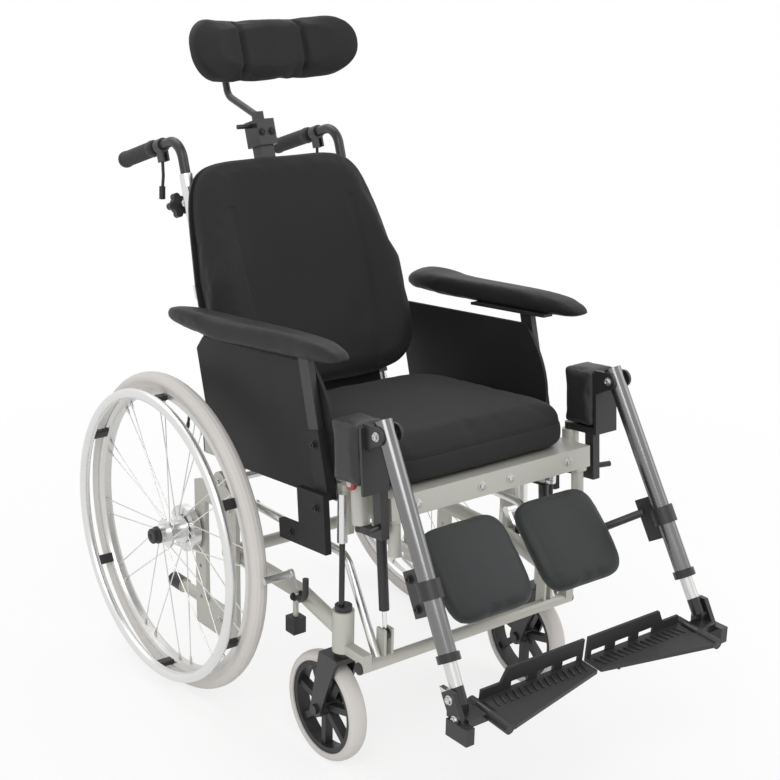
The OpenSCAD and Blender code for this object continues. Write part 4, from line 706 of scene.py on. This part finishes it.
class BackCushion(bpy.types.Operator):
    """Back cushion: filled cover with side bolsters, two sewn channels and a welt along its edge"""
    bl_idname = "wheelchair.back_cushion"
    bl_label = "Back cushion"

    def execute(self, context):
        s = sizes()
        half, shell_front = 0.229, -0.0202
        piece = filled(merged_copy("back_cushion"), s.cushion_voxel, s.cushion_swell,
                       s.cushion_start)
        held_back(piece, BACK, (-half, -0.2, 0.070), (half, shell_front, 0.547))
        subdivided(piece)
        crumpled(piece, 0.11, 0.0016, 2)
        sewn(piece, BACK, self.channel, 0.007, 0.0022)
        held_back(piece, BACK, (-half, -0.2, 0.069), (half, shell_front, 0.549))
        pad_piece(piece, "back_cushion_cover", "back", "back_cushion", "upholstery")
        welt(piece, BACK @ shift(0, -0.034, 0.3075), 240, "XZ", 0.0006, "back_cushion_welt", "back")
        return {"FINISHED"}

    @staticmethod
    def channel(p):
        """Distance from the lines where the bolsters meet the middle, on the front side only."""
        side_line = 0.118 + 0.02 * np.sin((p[:, 2] - 0.1) * 6)
        off = np.abs(np.abs(p[:, 0]) - side_line)
        return np.where((p[:, 1] < -0.045) & (p[:, 2] < 0.44), off, 1.0)


class LowerBackPlate(bpy.types.Operator):
    """Ribbed plate below the back shell that closes the gap behind the seat cushion"""
    bl_idname = "wheelchair.lower_back_plate"
    bl_label = "Lower back plate"

    def execute(self, context):
        plate = rounded_bar((0.344, 0.0032, 0.054), 0.0012)
        rib = rounded_bar((0.300, 0.0024, 0.004), 0.0009)
        ribs = place_copies(rib, [shift(0, 0.0022, z) for z in (-0.020, -0.010)], "ribs")
        remove_models(rib)
        plate = joined([plate, ribs])
        plate.data.transform(BACK @ shift(0, -0.0140, 0.066))
        settle(plate, "lower_back_plate", "back", "black_plastic")
        return {"FINISHED"}


class HeadrestPad(bpy.types.Operator):
    """Headrest: a curved pad in three cushions, parted by two deep seams"""
    bl_idname = "wheelchair.headrest_pad"
    bl_label = "Headrest"

    def execute(self, context):
        s = sizes()
        merged_copy("headrest_pad")
        bpy.ops.object.mode_set(mode="EDIT")
        bpy.ops.mesh.separate(type="LOOSE")
        to_object_mode()
        pad, *spares = sorted(context.selected_objects, key=lambda o: -max(o.dimensions))
        remove_models(*spares)
        piece = filled(pad, 0.0045, s.cushion_swell, s.cushion_start)
        round_ended(piece, BACK, 3.4)
        subdivided(piece)
        sewn(piece, BACK, self.seam, 0.005, 0.010)
        pad_piece(piece, "headrest_cover", "headrest", "headrest_pad", "upholstery")
        return {"FINISHED"}

    @staticmethod
    def seam(p):
        """Distance from the two upright seams, which fade out before the pad's edges."""
        seam_x, middle, reach = 0.069, 0.729, 0.047
        past_end = np.maximum(np.abs(p[:, 2] - middle) - reach, 0)
        return np.where(p[:, 1] < -0.03, np.abs(np.abs(p[:, 0]) - seam_x) + past_end, 1.0)


class ArmPads(bpy.types.Operator):
    """Arm pads: moulded skin over foam, with a rounded nose"""
    bl_idname = "wheelchair.arm_pads"
    bl_label = "Arm pads"

    def execute(self, context):
        post_top = 0.2831
        for name in SIDES:
            node = "armrest_pad_" + name
            piece = filled(merged_copy(node), 0.0045, 0.004, 0.002)
            held_back(piece, SEAT, (-0.33, -0.5, post_top), (0.33, 0.5, 0.4))
            subdivided(piece)
            pad_piece(piece, "arm_pad_cover_" + name, "armrest_" + name, node, "arm_skin")
        return {"FINISHED"}


class KneeAndCalfPads(bpy.types.Operator):
    """Boxy knee pads and rounded calf pads: filled skins over foam"""
    bl_idname = "wheelchair.knee_calf_pads"
    bl_label = "Knee and calf pads"

    def execute(self, context):
        for name, side in SIDES.items():
            block = rounded_bar((0.062, 0.070, 0.104), 0.005)
            block.data.transform(SEAT @ shift(side * 0.258, -0.434, 0.150))
            piece = filled(block, 0.0035, 0.0025, 0.001)
            subdivided(piece)
            pad_piece(piece, "knee_pad_cover_" + name, "legrest_hanger_" + name,
                      "knee_pad_" + name, "knee_skin")
            piece = filled(merged_copy("calf_pad_" + name), 0.0045, 0.0035, 0.0015)
            subdivided(piece)
            pad_piece(piece, "calf_pad_cover_" + name, "calf_support_" + name,
                      "calf_pad_" + name, "calf_skin")
        return {"FINISHED"}


# Wheels

class RearTyres(bpy.types.Operator):
    """Rear tyres: turned carcass with a ribbed tread"""
    bl_idname = "wheelchair.rear_tyres"
    bl_label = "Rear tyres"

    def execute(self, context):
        half, outer, bead = 0.016, 0.305, 0.2772
        ribs, rib_depth, tread_end, points = 7, 0.0006, 0.95, 44
        outline = [(bead, -0.0128), (bead + 0.006, -0.0132)]
        for k in range(points + 1):
            a = math.pi * (k / points - 0.5) * 0.98
            tread = 0.0
            if abs(a) < tread_end:
                tread = rib_depth * max(0.0, math.sin((a + math.pi / 2) * ribs * 2))
            outline.append((outer - half + half * math.cos(a) - tread, half * math.sin(a)))
        outline += [(bead + 0.006, 0.0132), (bead, 0.0128), (bead, -0.0128)]
        for name, side in SIDES.items():
            piece = lathe(outline, 128, "rear_tyre_tread_" + name, hub(side))
            settle(piece, "rear_tyre_tread_" + name, "rear_wheel_" + name, "tyre_rubber", smooth=50)
            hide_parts("rear_tyre_" + name)
        return {"FINISHED"}


NIPPLE = [(0.0, 0.0), (0.0022, 0.0), (0.0026, 0.001), (0.0026, 0.009), (0.0017, 0.0105),
          (0.0017, 0.014), (0.0, 0.014)]
VALVE = [(0.0, 0.0), (0.0042, 0.0), (0.0042, 0.003), (0.0026, 0.0045), (0.0026, 0.022),
         (0.0034, 0.0225), (0.0034, 0.031), (0.0024, 0.033), (0.0, 0.033)]
HUB_CAP = [(0.0, 0.0), (0.0165, 0.0), (0.0165, 0.003), (0.0145, 0.0048), (0.0145, 0.0125),
           (0.0128, 0.0142), (0.006, 0.0145), (0.0052, 0.0128), (0.0, 0.0126)]


class WheelFittings(bpy.types.Operator):
    """Spoke nipples, tyre valve, hand rim clips and hub cap of the rear wheels"""
    bl_idname = "wheelchair.wheel_fittings"
    bl_label = "Wheel fittings"

    def execute(self, context):
        s = sizes()
        nipple = lathe(NIPPLE, 12, "nipple")
        stem = lathe(VALVE, 16, "stem")
        clip = rounded_bar((0.0095, 0.019, 0.031), 0.0022)
        cap = lathe(HUB_CAP, 32, "cap")
        valve_at = self.rim_point(math.radians(195), 0)
        clip_radius, clip_x, cap_x = 0.2676, 0.3255, 0.3345
        for name, side in SIDES.items():
            body = "rear_wheel_" + name
            wheel = hub(side)
            fit(nipple, [wheel @ self.nipple_place(k, s.nipples) for k in range(s.nipples)],
                "spoke_nipples_" + name, body, "bolt_steel")
            fit(stem, [wheel @ facing(valve_at, -valve_at)], "tyre_valve_" + name, body,
                "black_plastic")
            clips = [wheel @ Matrix.Rotation(2 * math.pi * k / s.tabs, 4, "Z")
                     @ shift(clip_radius, 0, side * (clip_x - WHEEL_X)) for k in range(s.tabs)]
            fit(clip, clips, "handrim_clips_" + name, body, "black_plastic")
            fit(cap, [shift(side * cap_x, AXLE_Y, WHEEL_Z) @ turned(side * 90, "Y")],
                "hub_cap_" + name, body, "black_plastic")
        remove_models(nipple, stem, clip, cap)
        return {"FINISHED"}

    @staticmethod
    def rim_point(angle, off, radius=0.2625):
        """A point on the rim's inner side, or at another radius, off the wheel's middle plane."""
        return Vector((radius * math.cos(angle), radius * math.sin(angle), off))

    @classmethod
    def nipple_place(cls, k, count):
        """Place of a nipple in the rim, which looks along its spoke to a flange of the hub."""
        flange = k % 2 * 2 - 1
        angle, lean = 360 * k / count, 34
        rim_end = cls.rim_point(math.radians(angle + flange * lean), flange * 0.0022)
        hub_end = cls.rim_point(math.radians(angle), flange * 0.016, radius=0.0273)
        return facing(rim_end, hub_end - rim_end)


class CastorWheels(bpy.types.Operator):
    """Castor tyres with a crowned tread"""
    bl_idname = "wheelchair.castor_wheels"
    bl_label = "Castor wheels"

    def execute(self, context):
        ahead, trail, outer, inner, half, points = 0.453, 0.044, 0.100, 0.0842, 0.017, 24
        outline = [(inner, -half + 0.0012), (inner + 0.003, -half)]
        for k in range(points + 1):
            a = math.pi * (k / points - 0.5)
            outline.append((outer - 0.0105 + 0.0104 * math.cos(a) ** 0.8, half * math.sin(a)))
        outline += [(inner + 0.003, half), (inner, half - 0.0012), (inner, -half + 0.0012)]
        for name, side in SIDES.items():
            place = Matrix.Translation(chair(side * 0.236, ahead - trail, outer)) @ turned(90, "Y")
            piece = lathe(outline, 72, "castor_tread_" + name, place)
            settle(piece, "castor_tread_" + name, "castor_wheel_" + name, "tyre_rubber", smooth=50)
            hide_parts("castor_tyre_" + name)
        return {"FINISHED"}


# Fasteners and small fittings

def disc(vertices, radius, depth, middle):
    """A prism or disc along Z, as a start for a bolt head or washer."""
    deselect_everything()
    bpy.ops.mesh.primitive_cylinder_add(vertices=vertices, radius=radius, depth=depth,
                                        location=(0, 0, middle))
    bpy.ops.object.transform_apply(location=True, rotation=False, scale=False)
    return bpy.context.object


def bolt_model():
    """A hexagon head with a chamfer on a washer, its seat at the origin and its head along +Z."""
    head = disc(6, 0.0058, 0.0036, 0.003)
    select_in_mesh(head, "FACE", lambda face: face.normal.z > 0.9)
    bpy.ops.mesh.inset(thickness=0.0009, depth=0.0005)
    bpy.ops.mesh.inset(thickness=0.0016, depth=0.0)
    bpy.ops.mesh.extrude_region_move(TRANSFORM_OT_translate={"value": (0, 0, -0.0012)})
    to_object_mode()
    washer = disc(24, 0.0078, 0.0013, 0.00065)
    select_in_mesh(washer, "EDGE", lambda edge: all(v.co.z > 0.001 for v in edge.verts))
    bpy.ops.mesh.bevel(offset=0.0004, segments=2, affect="EDGES")
    to_object_mode()
    return joined([head, washer])


class Fasteners(bpy.types.Operator):
    """Bolts with washers at the frame's joints"""
    bl_idname = "wheelchair.fasteners"
    bl_label = "Fasteners"

    def execute(self, context):
        model = bolt_model()
        spots = {}
        for body, material, point, way in self.bolts():
            places = spots.setdefault((body, material), [])
            places.append(facing(point, way, 0.3 * len(spots)))
        for (body, material), places in spots.items():
            kind = "black_bolts_" if material == "bolt_black" else "bolts_"
            fit(model, places, kind + body, body, material)
        remove_models(model)
        return {"FINISHED"}

    @staticmethod
    def bolts():
        """Body, finish, seat and way of each bolt."""
        seat_front = SEAT.to_3x3() @ Vector((0, -1, 0))
        back_front = BACK.to_3x3() @ Vector((0, -1, 0))
        for name, side in SIDES.items():
            out = Vector((side, 0, 0))
            for ahead, z in ((0.100, 0.425), (0.137, 0.286), (0.134, 0.380), (0.098, 0.148)):
                yield "base", "bolt_steel", chair(side * 0.2601, ahead, z), out
            yield "base", "bolt_black", chair(side * 0.2631, 0.345, 0.290), out
            for y, z in ((-0.299, 0.052), (0.020, 0.052)):
                yield "seat", "bolt_black", SEAT @ Vector((side * 0.2421, y, z)), out
            sleeve = SEAT @ shift(side * 0.250, -0.327, 0.040) @ turned(-10.3, "X")
            yield "seat", "bolt_black", sleeve @ Vector((side * 0.0091, 0, 0.094)), out
            for y, z in ((-0.322, 0.028), (-0.244, -0.033)):
                yield "seat", "bolt_black", SEAT @ Vector((side * 0.2696, y, z)), out
            for x in (0.032, 0.170):
                yield "seat", "bolt_steel", SEAT @ Vector((side * x, -0.4691, 0.048)), seat_front
            for e in (-1, 1):
                yield ("legrest_hanger_" + name, "bolt_steel",
                       SEAT @ Vector((side * (0.2545 + e * 0.0215), -0.504, 0.187)), e * out)
            bracket = leg(side) @ shift(0, 0, -0.248)
            for z in (-0.024, 0.024):
                yield ("calf_support_" + name, "bolt_black",
                       bracket @ Vector((side * 0.0041, 0.038, z)), bracket.to_3x3() @ out)
            carrier = down_leg(side, FOOT_DOWN)
            for y, z in ((0.006, 0.012), (-0.008, -0.016)):
                yield ("extension_" + name, "bolt_steel",
                       carrier @ Vector((side * 0.0201, y, z)), out)
        for x in (-0.011, 0.011):
            yield "back", "bolt_black", BACK @ Vector((x, -0.0231, 0.581)), back_front
        for e in (-1, 1):
            yield ("headrest", "bolt_black", BACK @ Vector((e * 0.0136, -0.024, 0.742)),
                   Vector((e, 0, 0)))


class HandGrips(bpy.types.Operator):
    """Hand grips with ribs and a rounded end flange"""
    bl_idname = "wheelchair.hand_grips"
    bl_label = "Hand grips"

    def execute(self, context):
        ribs, length, radius, groove = sizes().grip_ribs, 0.132, 0.0165, 0.0142
        ribbed = length - 0.034
        pitch = ribbed / ribs
        outline = [(0.0, 0.0), (0.012, 0.0), (0.0158, 0.0015), (radius, 0.004), (radius, 0.010),
                   (0.0152, 0.012)]
        for k in range(ribs):
            low = 0.014 + k * ribbed / ribs
            outline += [(groove, low), (0.0153, low + 0.22 * pitch), (0.0155, low + 0.5 * pitch),
                        (0.0153, low + 0.78 * pitch)]
        outline += [(groove, length - 0.020), (0.0158, length - 0.018), (radius, length - 0.014),
                    (0.0160, length - 0.006), (0.0140, length - 0.001), (0.0100, length),
                    (0.0100, length - 0.110), (0.0, length - 0.110)]
        for name, side in SIDES.items():
            place = BACK @ shift(side * 0.181, 0.224, 0.585) @ turned(90, "X")
            piece = lathe(outline, 40, "ribbed_grip_" + name, place)
            settle(piece, "ribbed_grip_" + name, "push_handle_" + name, "grip_rubber", smooth=40)
            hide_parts("handle_grip_" + name)
        return {"FINISHED"}


BUTTON = [(0.0, 0.0), (0.0115, 0.0), (0.0125, 0.001), (0.0125, 0.0065), (0.0112, 0.008),
          (0.0068, 0.008), (0.0066, 0.0072), (0.0, 0.0072)]
BUTTON_CENTRE = [(0.0, 0.0), (0.0064, 0.0), (0.0064, 0.0018), (0.0052, 0.0028), (0.0, 0.0031)]


class ReleaseButtons(bpy.types.Operator):
    """Red release buttons with a pale centre on the legrest hangers"""
    bl_idname = "wheelchair.release_buttons"
    bl_label = "Release buttons"

    def execute(self, context):
        button = lathe(BUTTON, 40, "button")
        centre = lathe(BUTTON_CENTRE, 32, "centre")
        for name, side in SIDES.items():
            body = "legrest_hanger_" + name
            place = facing(SEAT @ Vector((side * 0.2589, -0.415, 0.091)), (side, 0, 0))
            fit(button, [place], "release_button_" + name, body, "button_red")
            fit(centre, [place @ shift(0, 0, 0.0073)], "release_button_centre_" + name, body,
                "button_pale")
        remove_models(button, centre)
        return {"FINISHED"}


class FootplateTreads(bpy.types.Operator):
    """Raised slanting treads on the footplates"""
    bl_idname = "wheelchair.footplate_treads"
    bl_label = "Footplate treads"

    def execute(self, context):
        tread = rounded_bar((0.0042, 0.022, 0.0024), 0.0009, 2)
        count, first, pitch, slant = 15, 0.028, 0.0135, 18
        for name, side in SIDES.items():
            places = [foot(side) @ shift(-side * (first + k * pitch), -0.011, 0.0043)
                      @ turned(side * slant, "Z") for k in range(count)]
            fit(tread, places, "footplate_treads_" + name, "footplate_" + name, "black_plastic")
        remove_models(tread)
        return {"FINISHED"}


TUBE_CAP = [(0.0, 0.0), (0.0108, 0.0), (0.0112, 0.0012), (0.0106, 0.0035), (0.0, 0.0044)]


class EndCaps(bpy.types.Operator):
    """Plastic end caps of the seat rails and of the front cross tube"""
    bl_idname = "wheelchair.end_caps"
    bl_label = "End caps"

    def execute(self, context):
        rail_cap = rounded_bar((0.0276, 0.006, 0.0376), 0.0016)
        tube_cap = lathe(TUBE_CAP, 32, "tube_cap")
        for name, side in SIDES.items():
            fit(rail_cap, [SEAT @ shift(side * 0.210, 0.1065, 0.048)], "rail_cap_" + name, "seat",
                "black_plastic")
            fit(tube_cap, [facing(chair(side * 0.244, 0.511, 0.216), (side, 0, 0))],
                "cross_tube_cap_" + name, "base", "black_plastic")
        remove_models(rail_cap, tube_cap)
        return {"FINISHED"}


class PaintedFrame(bpy.types.Operator):
    """Finishes of the frame pieces that come from the CAD model"""
    bl_idname = "wheelchair.painted_frame"
    bl_label = "Frame finishes"

    def execute(self, context):
        given = {**self.part_black_finishes(), **NODE_FINISHES}
        for node, obj in NODES.items():
            chosen = next((given[key] for key in given if node.startswith(key)), "upholstery")
            obj.data.materials.clear()
            obj.data.materials.append(
                finish_named(chosen) if isinstance(chosen, str) else chosen)
        return {"FINISHED"}

    @staticmethod
    def part_black_finishes():
        """Finishes of the nodes that are black in part: a tip, foot, collar, eye, hook or clamp."""
        worn = dict(depth=0.06, mottle=0.04)
        carrier_top = down_leg(1, FOOT_DOWN - 0.028).translation
        post_foot = Matrix.Translation(chair(0.243, 0.322, 0.224))
        post_half = Vector((0.0135, 0.0135, 0.0155))
        down = (0.0, 0.0, -1.0)
        return {
            "anti_tipper": finish("Anti-tipper paint and rubber tip", "paint", **PAINT,
                                  black_in=[past((0.0, 1.0, 0.0), AXLE_Y + 0.072)]),
            "base_frame": finish("Base paint with black post foot", "paint", **PAINT,
                                 black_in=[boxed(post_foot, -post_half, post_half)]),
            "extension_tube": finish("Extension tube with black carrier", (0.66, 0.66, 0.65), 0.26,
                                     0.95, **worn,
                                     black_in=[past(LEG_WAY, Vector(LEG_WAY).dot(carrier_top))]),
            "leg_tube": finish("Grey anodised tube with black collar", "dark", 0.22, 0.9,
                               depth=0.05, mottle=0.08, brushed=(900.0, 900.0, 40.0),
                               black_in=[boxed(leg(1), (-0.03, -0.03, -0.37),
                                               (0.03, 0.03, -0.3465))]),
            "support_legs": finish("Bright sleeve on a black rod", "bright", 0.26, 1.0, **worn,
                                   black_in=[past(down, -0.4245)]),
            "tilt_rods": finish("Chromed rod with black eye", CHROME_COLOUR, **CHROME,
                                black_in=[past(down, -0.273)]),
            "wheel_lock": finish("Aluminium lock with black hook", "bright", 0.3, 1.0, **worn,
                                 black_in=[past((0.0, -1.0, 0.0), 0.351 - AXLE_Y)]),
            "back_frame": finish("Brushed aluminium with black headrest clamp", "bright", **BRUSHED,
                                 black_in=[boxed(BACK, (-0.03, -0.2, 0.49), (0.03, 0.2, 0.75)),
                                           boxed(BACK, (-0.08, -0.2, 0.555), (0.08, 0.2, 0.75))]),
        }


# Studio

# Name, place, power in watts and size of each lamp.
LAMPS = (("key_light", (-2.2, -2.6, 3.2), 62, 2.2),
         ("fill_light", (2.8, -1.6, 2.4), 26, 2.4),
         ("top_light", (0.0, 1.6, 3.4), 34, 2.4))

# The camera, fitted to the rear wheel, castors, arm pads and seat of the photograph.
FOCAL_PIXELS = 1526.1
PHOTO_PIXELS = 780
CAMERA_TURN = (-38.46, 17.45, 1.18)
CAMERA_PLACE = (-1.64335, -2.33923, 1.43072)


class Studio(bpy.types.Operator):
    """Pale floor, soft light, and the camera at the photograph's angle"""
    bl_idname = "wheelchair.studio"
    bl_label = "Studio"

    def execute(self, context):
        context.scene.view_settings.view_transform = "Standard"
        deselect_everything()
        bpy.ops.mesh.primitive_plane_add(size=30, location=(0, 0, 0))
        floor = context.object
        floor.name = "studio_floor"
        floor.data.materials.append(self.floor_finish())
        self.surroundings(context)
        for name, place, power, size in LAMPS:
            bpy.ops.object.light_add(type="AREA", location=place)
            lamp = context.object
            lamp.name = name
            lamp.data.energy = power
            lamp.data.size = size
            lamp.rotation_mode = "QUATERNION"
            look = Vector(place) - Vector((0, 0, 0.6))
            lamp.rotation_quaternion = look.to_track_quat("Z", "Y")
        self.camera(context)
        return {"FINISHED"}

    @staticmethod
    def surroundings(context):
        """Soft light from all round, before a white background."""
        world = bpy.data.worlds.new("Soft studio")
        context.scene.world = world
        world.use_nodes = True
        tree = world.node_tree
        tree.nodes.clear()
        light = add_node(tree, "ShaderNodeBackground", Color=(1, 1, 1, 1), Strength=0.62)
        white = add_node(tree, "ShaderNodeBackground", Color=(1, 1, 1, 1), Strength=1.0)
        mix = add_node(tree, "ShaderNodeMixShader", i0=Studio.seen_directly(tree),
                       i1=light.outputs[0], i2=white.outputs[0])
        add_node(tree, "ShaderNodeOutputWorld", i0=mix.outputs[0])

    @staticmethod
    def floor_finish():
        """A pale floor that grows as white as the background away from the chair."""
        material = bpy.data.materials.new("Pale floor")
        material.use_nodes = True
        tree = material.node_tree
        shader = tree.nodes["Principled BSDF"]
        shader.inputs["Base Color"].default_value = (0.93, 0.93, 0.925, 1)
        shader.inputs["Roughness"].default_value = 0.9
        shader.inputs["Specular IOR Level"].default_value = 0.1
        place = tree.nodes.new("ShaderNodeTexCoord").outputs["Object"]
        out = maths(tree, "LENGTH", place, vector=True)
        whiter = add_node(tree, "ShaderNodeMapRange", {"interpolation_type": "SMOOTHSTEP"},
                          i0=out.outputs["Value"], i1=0.9, i2=2.4, i3=0.76, i4=1.0)
        share = maths(tree, "MULTIPLY", Studio.seen_directly(tree), whiter.outputs[0])
        white = add_node(tree, "ShaderNodeEmission", Color=(1, 1, 1, 1), Strength=1.0)
        mix = add_node(tree, "ShaderNodeMixShader", i0=share.outputs[0], i1=shader.outputs[0],
                       i2=white.outputs[0])
        tree.links.new(mix.outputs[0], tree.nodes["Material Output"].inputs[0])
        return material

    @staticmethod
    def seen_directly(tree):
        """1 for what the camera, a mirror or glass sees, 0 for the light on the chair."""
        path = tree.nodes.new("ShaderNodeLightPath")
        seen = path.outputs["Is Camera Ray"]
        for kind in ("Is Glossy Ray", "Is Transmission Ray"):
            seen = maths(tree, "ADD", seen, path.outputs[kind], use_clamp=True).outputs[0]
        return seen

    @staticmethod
    def camera(context):
        """The camera of the photograph."""
        heading, pitch, roll = (math.radians(angle) for angle in CAMERA_TURN)
        right = Vector((math.cos(heading), math.sin(heading), 0))
        back = Vector((math.sin(heading) * math.cos(pitch), -math.cos(heading) * math.cos(pitch),
                       math.sin(pitch)))
        up = back.cross(right)
        turned_right = math.cos(roll) * right + math.sin(roll) * up
        turned_up = -math.sin(roll) * right + math.cos(roll) * up
        data = bpy.data.cameras.new("photo_camera")
        data.sensor_width = 36
        data.lens = data.sensor_width * FOCAL_PIXELS / PHOTO_PIXELS
        data.clip_start, data.clip_end = 0.05, 60
        camera = new_piece("photo_camera", data)
        camera.rotation_mode = "QUATERNION"
        axes = Matrix((turned_right, turned_up, back)).transposed()
        camera.rotation_quaternion = axes.to_quaternion()
        camera.location = Vector(CAMERA_PLACE) + Vector((0, AXLE_Y, 0))
        context.scene.camera = camera


CLASSES = (ChairSizes, ChairColours, Studio, PaintedFrame, SeatCushion, BackCushion, LowerBackPlate,
           HeadrestPad, ArmPads, KneeAndCalfPads, RearTyres, WheelFittings, CastorWheels, Fasteners,
           HandGrips, ReleaseButtons, FootplateTreads, EndCaps)
STEPS = [c for c in CLASSES if issubclass(c, bpy.types.Operator)]


class ChairPanel(bpy.types.Panel):
    """Sidebar panel with the chair's sizes, colours and pieces"""
    bl_idname = "VIEW3D_PT_wheelchair"
    bl_label = "Wheelchair"
    bl_space_type = "VIEW_3D"
    bl_region_type = "UI"
    bl_category = "Wheelchair"

    def draw(self, context):
        layout = self.layout
        for holder in (context.scene.chair_sizes, context.scene.chair_colours):
            box = layout.box()
            for key in holder.bl_rna.properties.keys():
                if key not in ("rna_type", "name"):
                    box.prop(holder, key)
        for step in STEPS:
            layout.operator(step.bl_idname)


def register():
    for made in CLASSES + (ChairPanel,):
        bpy.utils.register_class(made)
    bpy.types.Scene.chair_sizes = PointerProperty(type=ChairSizes)
    bpy.types.Scene.chair_colours = PointerProperty(type=ChairColours)


def unregister():
    del bpy.types.Scene.chair_colours
    del bpy.types.Scene.chair_sizes
    for made in reversed(CLASSES + (ChairPanel,)):
        bpy.utils.unregister_class(made)


def main():
    register()
    for step in STEPS:
        family, name = step.bl_idname.split(".")
        getattr(getattr(bpy.ops, family), name)()


if __name__ == "__main__":
    main()
